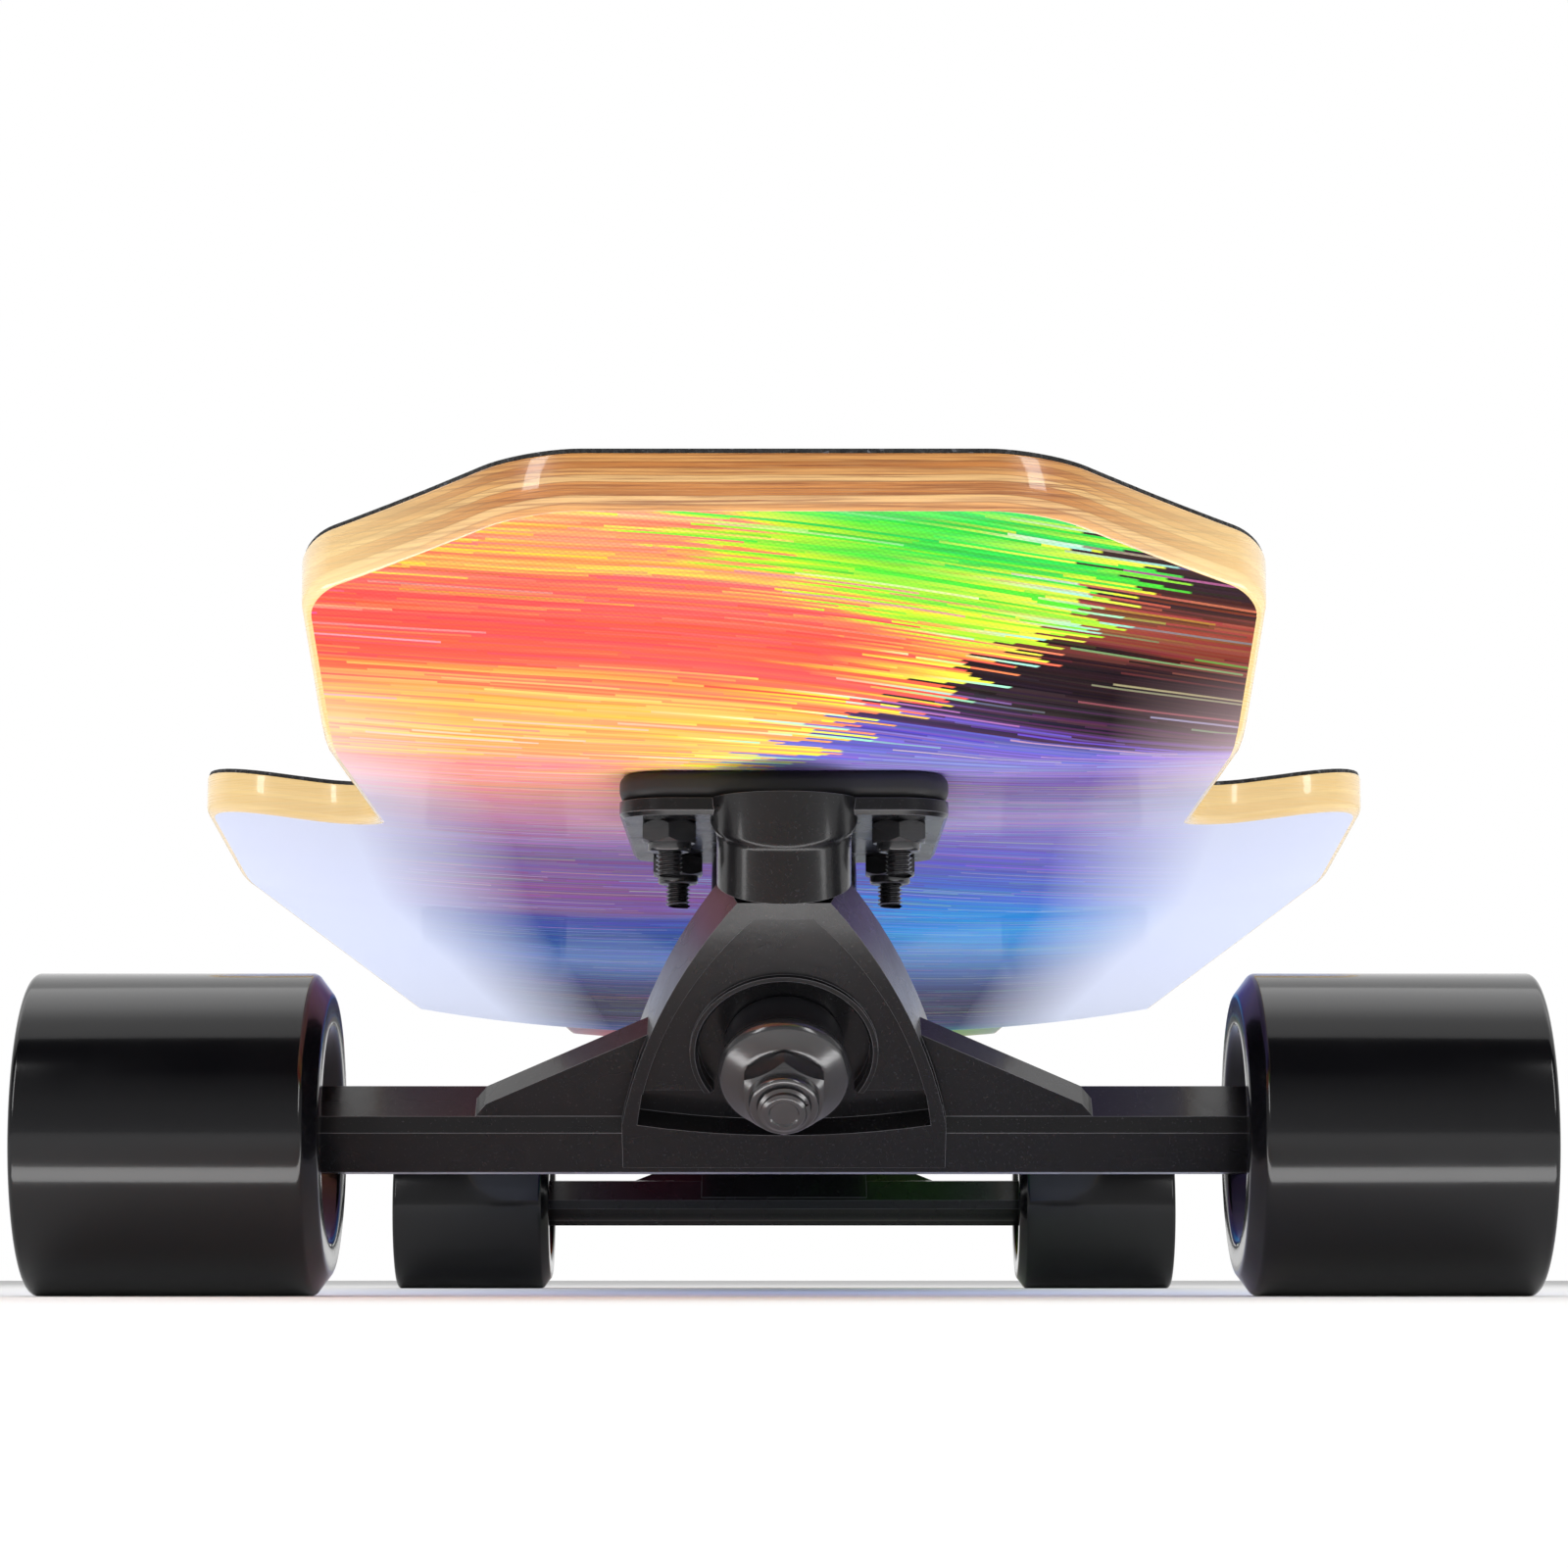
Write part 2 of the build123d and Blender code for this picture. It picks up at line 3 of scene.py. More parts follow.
import bmesh
import bpy
from mathutils import Matrix, Vector


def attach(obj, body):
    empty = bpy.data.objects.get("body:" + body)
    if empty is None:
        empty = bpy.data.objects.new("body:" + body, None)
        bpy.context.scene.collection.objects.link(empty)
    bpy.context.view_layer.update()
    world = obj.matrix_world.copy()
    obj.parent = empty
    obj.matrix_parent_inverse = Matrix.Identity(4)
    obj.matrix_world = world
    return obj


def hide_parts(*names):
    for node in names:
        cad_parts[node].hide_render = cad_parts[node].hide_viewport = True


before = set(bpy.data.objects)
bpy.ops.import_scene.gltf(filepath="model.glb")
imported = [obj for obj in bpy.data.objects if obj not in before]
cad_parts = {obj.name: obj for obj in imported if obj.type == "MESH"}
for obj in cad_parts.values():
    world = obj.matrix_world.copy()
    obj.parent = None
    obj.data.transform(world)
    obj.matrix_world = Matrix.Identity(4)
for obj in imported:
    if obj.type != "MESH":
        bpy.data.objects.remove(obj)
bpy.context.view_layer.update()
print("frame loaded,", len(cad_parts), "nodes")

# Where things are, in metres and in the frame's own directions.

truckPlace = dict(
    axleFromMiddle=0.3805,
    axleHeight=0.030,
    steerAngle=50.0,      # steering axis above the horizontal, in degrees
    pivotToAxle=0.0236,   # along the steering axis
    mountHeight=0.093,    # underside of the board over the trucks
)
ends = {"front": 0.0, "rear": math.pi}
sides = {"left": 1, "right": -1}


def truckMatrix(end):
    turn = Matrix.Rotation(ends[end], 4, "Z")
    return turn @ Matrix.Translation((0, -truckPlace["axleFromMiddle"], 0))


def kingpinMatrix(end):
    angle = math.radians(truckPlace["steerAngle"])
    up = Vector((0, -math.cos(angle), math.sin(angle)))
    out = Vector((0, -math.sin(angle), -math.cos(angle)))
    across = up.cross(out)
    place = Matrix((across, up, out)).transposed().to_4x4()
    start = Vector((0, 0, truckPlace["axleHeight"])) + up * truckPlace["pivotToAxle"]
    return truckMatrix(end) @ Matrix.Translation(start) @ place


def wheelMatrix(end, side):
    outward = sides[side] * (1 if end == "front" else -1)
    turn = Matrix.Identity(4) if outward > 0 else Matrix.Rotation(math.pi, 4, "Z")
    return truckMatrix(end) @ Matrix.Translation((0, 0, truckPlace["axleHeight"])) @ turn


def finishPiece(name, bm, body, replaced=(), materials=(), smoothAngle=32):
    mesh = bpy.data.meshes.new(name)
    bm.to_mesh(mesh)
    bm.free()
    placePiece(name, mesh, body, replaced, materials, smoothAngle)


def placePiece(name, mesh, body, replaced=(), materials=(), smoothAngle=32):
    for material in materials:
        mesh.materials.append(material)
    mesh.shade_smooth()
    mesh.set_sharp_from_angle(angle=math.radians(smoothAngle))
    piece = bpy.data.objects.new(name, mesh)
    bpy.context.scene.collection.objects.link(piece)
    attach(piece, body)
    if replaced:
        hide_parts(*replaced)
    return piece


def move(bm, matrix, verts=None):
    bmesh.ops.transform(bm, matrix=matrix, verts=verts or bm.verts[:])


def turnAlongZ(bm, points, rounded=(), steps=64):
    before = set(bm.verts)
    verts = [bm.verts.new((radius, 0, z)) for radius, z in points]
    edges = [bm.edges.new((a, b)) for a, b in zip(verts, verts[1:] + verts[:1])]
    for index, radius, segments in rounded:
        vert = verts[index]
        ways = [(edge.other_vert(vert).co - vert.co).normalized() for edge in vert.link_edges]
        half = math.acos(max(-1, min(1, ways[0].dot(ways[1])))) / 2
        bmesh.ops.bevel(bm, geom=[vert], affect="VERTICES", offset=radius / math.tan(half),
                        segments=segments, profile=0.5, material=-1)
    outline = [v for v in bm.verts if v not in before]
    edges = list({edge for vert in outline for edge in vert.link_edges})
    bmesh.ops.spin(bm, geom=outline + edges, cent=(0, 0, 0), axis=(0, 0, 1), angle=math.tau,
                   steps=steps, use_merge=True, use_duplicate=False)
    made = [v for v in bm.verts if v not in before]
    bmesh.ops.remove_doubles(bm, verts=made, dist=1e-7)
    made = [v for v in bm.verts if v not in before]
    faces = list({face for vert in made for face in vert.link_faces})
    bmesh.ops.recalc_face_normals(bm, faces=faces)
    return made


def threadAlongZ(bm, crest, root, pitch, start, turns, steps=20):
    before = set(bm.verts)
    profile = [(root, 0), (root, 0.12), (crest, 0.44), (crest, 0.56), (root, 0.88), (root, 1)]
    verts = [bm.verts.new((radius, 0, start + share * pitch)) for radius, share in profile]
    edges = [bm.edges.new((a, b)) for a, b in zip(verts, verts[1:])]
    count = int(turns * steps)
    bmesh.ops.spin(bm, geom=verts + edges, cent=(0, 0, 0), axis=(0, 0, 1), angle=math.tau * turns,
                   steps=count, dvec=(0, 0, pitch / steps), use_merge=False, use_duplicate=False)
    made = [v for v in bm.verts if v not in before]
    bmesh.ops.remove_doubles(bm, verts=made, dist=2e-6)
    made = [v for v in bm.verts if v not in before]
    faces = list({face for vert in made for face in vert.link_faces})
    bmesh.ops.recalc_face_normals(bm, faces=faces)


def appliedMesh(name, bm, cutter, operation="DIFFERENCE"):
    mesh = bpy.data.meshes.new(name)
    bm.to_mesh(mesh)
    bm.free()
    other = bpy.data.meshes.new(name + "Cutter")
    cutter.to_mesh(other)
    cutter.free()
    piece = bpy.data.objects.new(name, mesh)
    tool = bpy.data.objects.new(name + "Cutter", other)
    for thing in (piece, tool):
        bpy.context.scene.collection.objects.link(thing)
    modifier = piece.modifiers.new("cut", "BOOLEAN")
    modifier.operation = operation
    modifier.object = tool
    modifier.solver = "EXACT"
    graph = bpy.context.evaluated_depsgraph_get()
    done = bpy.data.meshes.new_from_object(piece.evaluated_get(graph))
    for thing in (piece, tool):
        bpy.data.objects.remove(thing)
    return done


def copyOfNode(name):
    bm = bmesh.new()
    bm.from_mesh(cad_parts[name].data)
    bmesh.ops.remove_doubles(bm, verts=bm.verts[:], dist=2e-6)
    bmesh.ops.dissolve_limit(bm, angle_limit=math.radians(0.6), verts=bm.verts[:], edges=bm.edges[:])
    return bm


def newMaterial(name, **shaderValues):
    material = bpy.data.materials.new(name)
    material.use_nodes = True
    tree = material.node_tree
    shader = next(n for n in tree.nodes if n.type == "BSDF_PRINCIPLED")
    for key, value in shaderValues.items():
        shader.inputs[key].default_value = value
    return material, tree, shader


def addNode(tree, kind, **settings):
    made = tree.nodes.new("ShaderNode" + kind)
    for key, value in settings.items():
        setattr(made, key, value)
    return made


def feed(tree, socket, value):
    if isinstance(value, bpy.types.NodeSocket):
        tree.links.new(value, socket)
    else:
        socket.default_value = value


def objectCoordinates(tree, scale=(1, 1, 1), turn=(0, 0, 0)):
    place = addNode(tree, "TexCoord").outputs["Object"]
    mapping = addNode(tree, "Mapping")
    feed(tree, mapping.inputs["Vector"], place)
    mapping.inputs["Scale"].default_value = scale
    mapping.inputs["Rotation"].default_value = turn
    return mapping.outputs["Vector"]


def axes(tree):
    split = addNode(tree, "SeparateXYZ")
    feed(tree, split.inputs[0], addNode(tree, "TexCoord").outputs["Object"])
    return split.outputs[0], split.outputs[1], split.outputs[2]


def noise(tree, vector, scale, detail=2.0, roughness=0.5):
    made = addNode(tree, "TexNoise")
    feed(tree, made.inputs["Vector"], vector)
    made.inputs["Scale"].default_value = scale
    made.inputs["Detail"].default_value = detail
    made.inputs["Roughness"].default_value = roughness
    return made.outputs["Fac"]


def maths(tree, operation, first, second=0.0, third=0.0):
    made = addNode(tree, "Math", operation=operation)
    for socket, value in zip(made.inputs, (first, second, third)):
        feed(tree, socket, value)
    return made.outputs[0]


def spread(tree, value, low, high, outLow=0.0, outHigh=1.0, smooth=False):
    made = addNode(tree, "MapRange")
    made.interpolation_type = "SMOOTHSTEP" if smooth else "LINEAR"
    for key, number in (("Value", value), ("From Min", low), ("From Max", high),
                        ("To Min", outLow), ("To Max", outHigh)):
        feed(tree, made.inputs[key], number)
    return made.outputs["Result"]


def colourRamp(tree, factor, stops):
    made = addNode(tree, "ValToRGB")
    ramp = made.color_ramp
    while len(ramp.elements) < len(stops):
        ramp.elements.new(0.5)
    for element, (place, colour) in zip(ramp.elements, stops):
        element.position = place
        element.color = (*colour, 1)
    feed(tree, made.inputs["Fac"], factor)
    return made.outputs["Color"]


def mixColour(tree, factor, first, second, blend="MIX"):
    made = addNode(tree, "Mix", data_type="RGBA", blend_type=blend)
    feed(tree, made.inputs["Factor"], factor)
    for socket, value in ((made.inputs[6], first), (made.inputs[7], second)):
        feed(tree, socket, (*value, 1) if isinstance(value, tuple) and len(value) == 3 else value)
    return made.outputs[2]


def bump(tree, shader, height, distance, strength=1.0):
    made = addNode(tree, "Bump")
    made.inputs["Strength"].default_value = strength
    made.inputs["Distance"].default_value = distance
    feed(tree, made.inputs["Height"], height)
    feed(tree, shader.inputs["Normal"], made.outputs["Normal"])


def screen(red, green, blue):   # a colour as a screen shows it, 0 to 255, made linear
    return tuple(((c / 255 + 0.055) / 1.055) ** 2.4 if c > 10 else c / 255 / 12.92
                 for c in (red, green, blue))


# The trucks' black gloss coat, then the other plain finishes.
coatLooks = dict(
    colour=screen(19, 19, 21),
    deepColour=screen(13, 13, 15),
    edgeColour=screen(104, 104, 108),    # painted highlight: the bevelled edges are coloured lighter than the coat
    edgeDeep=screen(62, 62, 66),
    wornColour=screen(70, 70, 74),
    roughness=(0.20, 0.34),
    castGrain=420.0,      # noise scale of the orange peel, per metre
    castDepth=0.00006,
)


def makeCastBlack(name, colour, deepColour):
    material, tree, shader = newMaterial(name, **{
        "Coat Weight": 0.24, "Coat Roughness": 0.12, "IOR": 1.3})
    place = objectCoordinates(tree)
    cloud = noise(tree, place, 60.0, 3.0)
    peel = noise(tree, place, coatLooks["castGrain"], 2.0)
    speck = noise(tree, place, 2600.0, 1.0)
    colour = mixColour(tree, cloud, colour, deepColour)
    specks = spread(tree, speck, 0.68, 0.74)
    colour = mixColour(tree, maths(tree, "MULTIPLY", specks, 0.35), colour, coatLooks["wornColour"])
    feed(tree, shader.inputs["Base Color"], colour)
    feed(tree, shader.inputs["Roughness"], spread(tree, cloud, 0.3, 0.7, *coatLooks["roughness"]))
    bump(tree, shader, peel, coatLooks["castDepth"], 0.6)
    return material


def makeBoltBlack():
    material, tree, shader = newMaterial("boltBlackZinc", **{"Metallic": 0.25, "IOR": 1.9})
    place = objectCoordinates(tree)
    cloud = noise(tree, place, 300.0, 3.0)
    scratch = noise(tree, objectCoordinates(tree, scale=(1, 1, 14)), 420.0, 2.0)
    colour = mixColour(tree, cloud, screen(32, 32, 34), screen(46, 46, 49))
    feed(tree, shader.inputs["Base Color"], colour)
    feed(tree, shader.inputs["Roughness"], spread(tree, scratch, 0.3, 0.7, 0.14, 0.26))
    bump(tree, shader, scratch, 0.000006, 0.4)
    return material


def makeBrightSteel():
    material, tree, shader = newMaterial("brightZincSteel", Metallic=1.0)
    place = objectCoordinates(tree)
    cloud = noise(tree, place, 200.0, 3.0)
    turned = noise(tree, objectCoordinates(tree, scale=(30, 1, 1)), 260.0, 2.0)
    colour = mixColour(tree, cloud, screen(176, 178, 182), screen(206, 208, 210))
    feed(tree, shader.inputs["Base Color"], colour)
    feed(tree, shader.inputs["Roughness"], spread(tree, turned, 0.3, 0.7, 0.2, 0.38))
    bump(tree, shader, turned, 0.00001, 0.5)
    return material


def makeUrethane(name, dark, light, roughLow, roughHigh, grain=900.0, depth=0.00001, coat=0.3):
    material, tree, shader = newMaterial(name, **{
        "Coat Weight": coat, "Coat Roughness": 0.06, "IOR": 1.38})
    place = objectCoordinates(tree)
    cloud = noise(tree, place, 45.0, 4.0, 0.6)
    fine = noise(tree, place, grain, 2.0)
    feed(tree, shader.inputs["Base Color"], mixColour(tree, cloud, dark, light))
    feed(tree, shader.inputs["Roughness"], spread(tree, cloud, 0.3, 0.7, roughLow, roughHigh))
    bump(tree, shader, fine, depth, 0.5)
    return material


def makeRubber():
    material, tree, shader = newMaterial("riserRubber", **{"IOR": 1.5})
    place = objectCoordinates(tree)
    fine = noise(tree, place, 1400.0, 3.0)
    cloud = noise(tree, place, 80.0, 3.0)
    feed(tree, shader.inputs["Base Color"], mixColour(tree, cloud, screen(20, 20, 21), screen(32, 32, 34)))
    feed(tree, shader.inputs["Roughness"], spread(tree, cloud, 0.3, 0.7, 0.42, 0.58))
    bump(tree, shader, fine, 0.00004, 0.5)
    return material


finishes = {
    "truck_black": makeCastBlack("castBlackGloss", coatLooks["colour"], coatLooks["deepColour"]),
    # a lighter copy of the black coat, a painted highlight for the bevelled edges
    "truckEdge": makeCastBlack("castBlackEdge", coatLooks["edgeColour"], coatLooks["edgeDeep"]),
    "bolt_black": makeBoltBlack(),
    "bright_steel": makeBrightSteel(),
    "bushing_urethane": makeUrethane("bushingUrethane", screen(22, 22, 25), screen(34, 34, 38),
                                     0.3, 0.42, 700.0, 0.00002, 0.1),
    "riser_rubber": makeRubber(),
    "wheel_urethane": makeUrethane("tyreUrethane", screen(4, 4, 6), screen(8, 8, 11), 0.13, 0.18),
    "wheel_core": makeUrethane("wheelCoreNylon", screen(14, 17, 42), screen(24, 28, 60),
                               0.2, 0.3, 500.0, 0.00002, 0.3),
    "shield_black": makeBoltBlack(),
}
print("plain finishes made")

wheelSizes = dict(
    radius=0.030,
    openingRadius=0.020,
    coreRadius=0.017,
    insideFace=0.0842,    # along the axle, from the middle of the board
    treadInside=0.0872,
    outsideFace=0.1398,
    coreInside=0.093,
    coreOutside=0.117,
    coreRib=0.0025,
    coreRibHalf=0.004,
    bevelDrop=0.004,
    seatRadius=0.011,
    seatStep=0.0018,
    spacerHalf=0.005,
    lip=0.0008,           # the core's end faces are sunk by this between two rims
    lipLand=0.0012,       # width of the outer rim, and of its slope below
    lipSlope=0.0016,
    seatLand=0.0018,
    seatSlope=0.0022,
    bearingWidth=0.007,
)
shieldSizes = dict(
    inner=0.00595,
    outer=0.0091,
    thick=0.0004,
    inset=0.0003,         # in from the bearing's side
    dish=0.00022,
    innerFold=(0.0007, 0.0009),
    outerFold=(0.0006, 0.0009),
)
axleNutSizes = dict(flats=0.0127, hole=0.0039, height=0.007, collar=0.0016, washer=0.001)
alongAxle = Matrix.Rotation(math.pi / 2, 4, "Y")   # a shape turned round Z, laid along X


def addTyre(end, side):
    w = wheelSizes
    middle = (w["coreInside"] + w["coreOutside"]) / 2
    points = [
        (w["openingRadius"], w["insideFace"]),
        (w["radius"] - w["bevelDrop"], w["insideFace"]),
        (w["radius"], w["treadInside"]),
        (w["radius"], w["outsideFace"]),
        (w["openingRadius"], w["outsideFace"]),
        (w["openingRadius"] - 0.0006, w["outsideFace"] - 0.0035),
        (w["coreRadius"], w["coreOutside"]),
        (w["coreRadius"], middle + w["coreRibHalf"]),
        (w["coreRadius"] + w["coreRib"], middle + w["coreRibHalf"]),
        (w["coreRadius"] + w["coreRib"], middle - w["coreRibHalf"]),
        (w["coreRadius"], middle - w["coreRibHalf"]),
        (w["coreRadius"], w["coreInside"]),
    ]
    bm = bmesh.new()
    turnAlongZ(bm, points, [(0, 0.0016, 6), (1, 0.0016, 6), (2, 0.0014, 6), (3, 0.0012, 6),
                            (4, 0.0016, 6), (6, 0.0006, 3), (11, 0.0006, 3)], steps=128)
    move(bm, wheelMatrix(end, side) @ alongAxle)
    finishPiece(f"{end}_{side}_wheel_tyre", bm, f"{end}_{side}_wheel",
                [f"{end}_{side}_tyre"], [finishes["wheel_urethane"]], 30)


def addCore(end, side):
    w = wheelSizes
    middle = (w["coreInside"] + w["coreOutside"]) / 2
    points = [
        (w["seatRadius"], w["coreInside"]),
        (w["seatRadius"] + w["seatLand"], w["coreInside"]),
        (w["seatRadius"] + w["seatSlope"], w["coreInside"] + w["lip"]),
        (w["coreRadius"] - w["lipSlope"], w["coreInside"] + w["lip"]),
        (w["coreRadius"] - w["lipLand"], w["coreInside"]),
        (w["coreRadius"], w["coreInside"]),
        (w["coreRadius"], middle - w["coreRibHalf"]),
        (w["coreRadius"] + w["coreRib"], middle - w["coreRibHalf"]),
        (w["coreRadius"] + w["coreRib"], middle + w["coreRibHalf"]),
        (w["coreRadius"], middle + w["coreRibHalf"]),
        (w["coreRadius"], w["coreOutside"]),
        (w["coreRadius"] - w["lipLand"], w["coreOutside"]),
        (w["coreRadius"] - w["lipSlope"], w["coreOutside"] - w["lip"]),
        (w["seatRadius"] + w["seatSlope"], w["coreOutside"] - w["lip"]),
        (w["seatRadius"] + w["seatLand"], w["coreOutside"]),
        (w["seatRadius"], w["coreOutside"]),
        (w["seatRadius"], middle + w["spacerHalf"]),
        (w["seatRadius"] - w["seatStep"], middle + w["spacerHalf"]),
        (w["seatRadius"] - w["seatStep"], middle - w["spacerHalf"]),
        (w["seatRadius"], middle - w["spacerHalf"]),
    ]
    bm = bmesh.new()
    turnAlongZ(bm, points, [(1, 0.0003, 3), (4, 0.0003, 3), (11, 0.0003, 3), (14, 0.0003, 3)], steps=96)
    move(bm, wheelMatrix(end, side) @ alongAxle)
    finishPiece(f"{end}_{side}_wheel_core", bm, f"{end}_{side}_wheel",
                [f"{end}_{side}_core"], [finishes["wheel_core"]], 30)


def addShields(end, side):
    w, s = wheelSizes, shieldSizes
    inner, outer = s["inner"], s["outer"]
    bm = bmesh.new()
    for start in (w["coreInside"], w["coreOutside"] - w["bearingWidth"]):
        for low, out in ((start + s["inset"], -1), (start + w["bearingWidth"] - s["inset"], 1)):
            dished, back = low - s["dish"] * out, low - s["thick"] * out
            points = [(inner, low), (inner + s["innerFold"][0], low), (inner + s["innerFold"][1], dished),
                      (outer - s["outerFold"][1], dished), (outer - s["outerFold"][0], low), (outer, low),
                      (outer, back), (inner, back)]
            turnAlongZ(bm, points, steps=64)
    move(bm, wheelMatrix(end, side) @ alongAxle)
    finishPiece(f"{end}_{side}_wheel_shields", bm, f"{end}_{side}_wheel",
                [f"{end}_{side}_bearing_shields"], [finishes["shield_black"]], 30)


for end in ends:
    for side in sides:
        addTyre(end, side)
        addCore(end, side)
        addShields(end, side)
print("wheels made")

truckSizes = dict(
    edgeRound=0.0007,
    plateRound=0.0005,
    washerRadius=0.0122,
    washerThick=0.003,
    bushingRadius=0.011,
    kingpinRadius=0.00475,
    webHalf=0.003,
    roadBushing=0.010,
    boardBushing=0.013,
    kingpinNut=0.0065,
    kingpinEnd=0.002,
    kingpinFlats=0.0143,
    blockDepth=0.012,
    headHeight=0.006,
    threadDepth=0.0006,
    threadPitch=0.00106,
    collar=0.0016,        # the lock nut's round collar
    bushingWaist=0.0008,
    holeSpare=0.0002,
)


def addCasting(node, body, name, edgeRound):
    bm = copyOfNode(node)
    mesh = bpy.data.meshes.new(name)
    bm.to_mesh(mesh)
    bm.free()
    piece = placePiece(name, mesh, body, [node],
                       [finishes["truck_black"], finishes["truckEdge"]], 30)
    rounding = piece.modifiers.new("edges", "BEVEL")
    rounding.width = edgeRound
    rounding.segments = 3
    rounding.limit_method = "ANGLE"
    rounding.angle_limit = math.radians(28)
    rounding.use_clamp_overlap = True
    # the bevelled edges take the lighter material: a painted highlight along every rounded edge
    rounding.material = 1
    rounding.harden_normals = False
    rounding.miter_outer = "MITER_ARC"
    even = piece.modifiers.new("evenShade", "WEIGHTED_NORMAL")
    even.keep_sharp = False
    even.weight = 60


def hexPrism(bm, flats, start, end):
    made = bmesh.ops.create_circle(bm, cap_ends=True, segments=6, radius=flats / math.sqrt(3),
                                   matrix=Matrix.Translation((0, 0, start)))["verts"]
    face = made[0].link_faces[0]
    raised = bmesh.ops.extrude_face_region(bm, geom=[face])["geom"]
    top = [v for v in raised if isinstance(v, bmesh.types.BMVert)]
    bmesh.ops.translate(bm, verts=top, vec=(0, 0, end - start))
    bmesh.ops.recalc_face_normals(bm, faces=bm.faces[:])


def nutMesh(flats, hole, height, collar):
    bm = bmesh.new()
    hexPrism(bm, flats, 0, height - collar)
    corner = flats / math.sqrt(3)
    crown = bmesh.new()
    turnAlongZ(crown, [(0.0, -0.0001), (flats / 2 - 0.0001, -0.0001), (corner, 0.14 * flats / 2),
                       (corner, height - collar - 0.16 * flats / 2),
                       (flats / 2 - 0.0003, height - collar + 0.0001), (0.0, height - collar + 0.0001)],
               steps=48)
    hexMesh = appliedMesh("hex", bm, crown, "INTERSECT")
    body = bmesh.new()
    body.from_mesh(hexMesh)
    bpy.data.meshes.remove(hexMesh)
    outer = flats / 2 - 0.0008
    bore = bmesh.new()
    turnAlongZ(bore, [(0.0, -0.001), (hole, -0.001), (hole, height + 0.001), (0.0, height + 0.001)], steps=32)
    drilled = appliedMesh("hexDrilled", body, bore, "DIFFERENCE")
    done = bmesh.new()
    done.from_mesh(drilled)
    bpy.data.meshes.remove(drilled)
    turnAlongZ(done, [(hole, height - collar - 0.0002), (outer, height - collar - 0.0002),
                      (outer, height), (hole, height)], [(2, collar * 0.45, 4), (3, 0.0002, 2)], steps=48)
    mesh = bpy.data.meshes.new("nut")
    done.to_mesh(mesh)
    done.free()
    return mesh


def repeated(name, mesh, matrices, body, slot, replaced, smoothAngle=30):
    bm = bmesh.new()
    for matrix in matrices:
        before = set(bm.verts)
        bm.from_mesh(mesh)
        move(bm, matrix, [v for v in bm.verts if v not in before])
    finishPiece(name, bm, body, replaced, [finishes[slot]], smoothAngle)


def addKingpinSet(end):
    t = truckSizes
    place = kingpinMatrix(end)
    roadWasher = t["webHalf"] + t["roadBushing"]
    nutAt = roadWasher + t["washerThick"]
    tip = nutAt + t["kingpinNut"] + t["kingpinEnd"]
    boardWasher = -t["webHalf"] - t["boardBushing"]
    headSeat = boardWasher - t["washerThick"] - t["blockDepth"]
    radius = t["kingpinRadius"]

    bm = bmesh.new()   # kingpin: hexagonal head, shank, thread and dished end
    hexPrism(bm, t["kingpinFlats"], headSeat - t["headHeight"], headSeat)
    root = radius - t["threadDepth"]
    turnAlongZ(bm, [(0.0, headSeat - 0.001), (radius, headSeat - 0.001), (radius, 0.0), (root, 0.0006),
                    (root, tip - 0.0004), (root - 0.0006, tip), (0.0028, tip), (0.0025, tip - 0.0003),
                    (0.0, tip - 0.0003)], [(5, 0.0003, 2)], steps=48)
    pitch = t["threadPitch"]
    threadAlongZ(bm, radius, root - 0.00005, pitch, 0.001, (tip - 0.0026) / pitch + 0.4, steps=32)
    move(bm, place)
    finishPiece(f"{end}_kingpin_bolt", bm, "deck", [f"{end}_kingpin"],
                [finishes["bolt_black"]], 30)

    nut = nutMesh(t["kingpinFlats"], radius - 0.0003, t["kingpinNut"], t["collar"])
    repeated(f"{end}_kingpin_lock_nut", nut, [place @ Matrix.Translation((0, 0, nutAt))], "deck",
             "bolt_black", [f"{end}_kingpin_nut"])

    for which, start, out in (("road", roadWasher, 1), ("board", boardWasher, -1)):
        bm = bmesh.new()   # domed cup washer, its lip over the bushing's end
        r, thick, hole = t["washerRadius"], t["washerThick"], radius + t["holeSpare"]
        points = [(hole, 0), (r - 0.0009, 0), (r - 0.0009, -0.0014), (r, -0.0014), (r, thick * 0.2),
                  (r - 0.0042, thick), (hole + 0.0002, thick)]
        turnAlongZ(bm, points, [(3, 0.0003, 3), (4, 0.0022, 8), (5, 0.0022, 6), (6, 0.0002, 2)], steps=72)
        flip = Matrix.Identity(4) if out > 0 else Matrix.Rotation(math.pi, 4, "X")
        move(bm, place @ Matrix.Translation((0, 0, start)) @ flip)
        finishPiece(f"{end}_cup_washer_{which}", bm, "deck", [f"{end}_washer_{which}"],
                    [finishes["bolt_black"]], 35)

    for which, low, high in (("road", t["webHalf"], roadWasher), ("board", boardWasher, -t["webHalf"])):
        bm = bmesh.new()   # barrel bushing, a little waisted
        r, hole = t["bushingRadius"], radius + t["holeSpare"]
        middle = (low + high) / 2
        points = [(hole, low), (r, low), (r - t["bushingWaist"], middle), (r, high), (hole, high)]
        turnAlongZ(bm, points, [(1, 0.0007, 4), (2, 0.006, 8), (3, 0.0007, 4)], steps=72)
        move(bm, place)
        finishPiece(f"{end}_barrel_bushing_{which}", bm, "deck",
                    [f"{end}_bushing_{which}"], [finishes["bushing_urethane"]], 35)


fastenerSizes = dict(
    spacingAcross=0.0413,
    spacingAlong=0.0635,
    middleAhead=-0.002,     # of the bolt pattern, from the axle
    boltRadius=0.0024,
    headRadius=0.0046,
    headHeight=0.0027,
    gripTop=0.1018,
    plateUnder=0.085,
    nutHeight=0.0055,
    nutFlats=0.0095,
    end=0.005,
    pitch=0.0008,
    threadDepth=0.00042,
    collar=0.0016,
    crossSize=(0.005, 0.0011, 0.0032),
    holeSpare=0.0002,
)


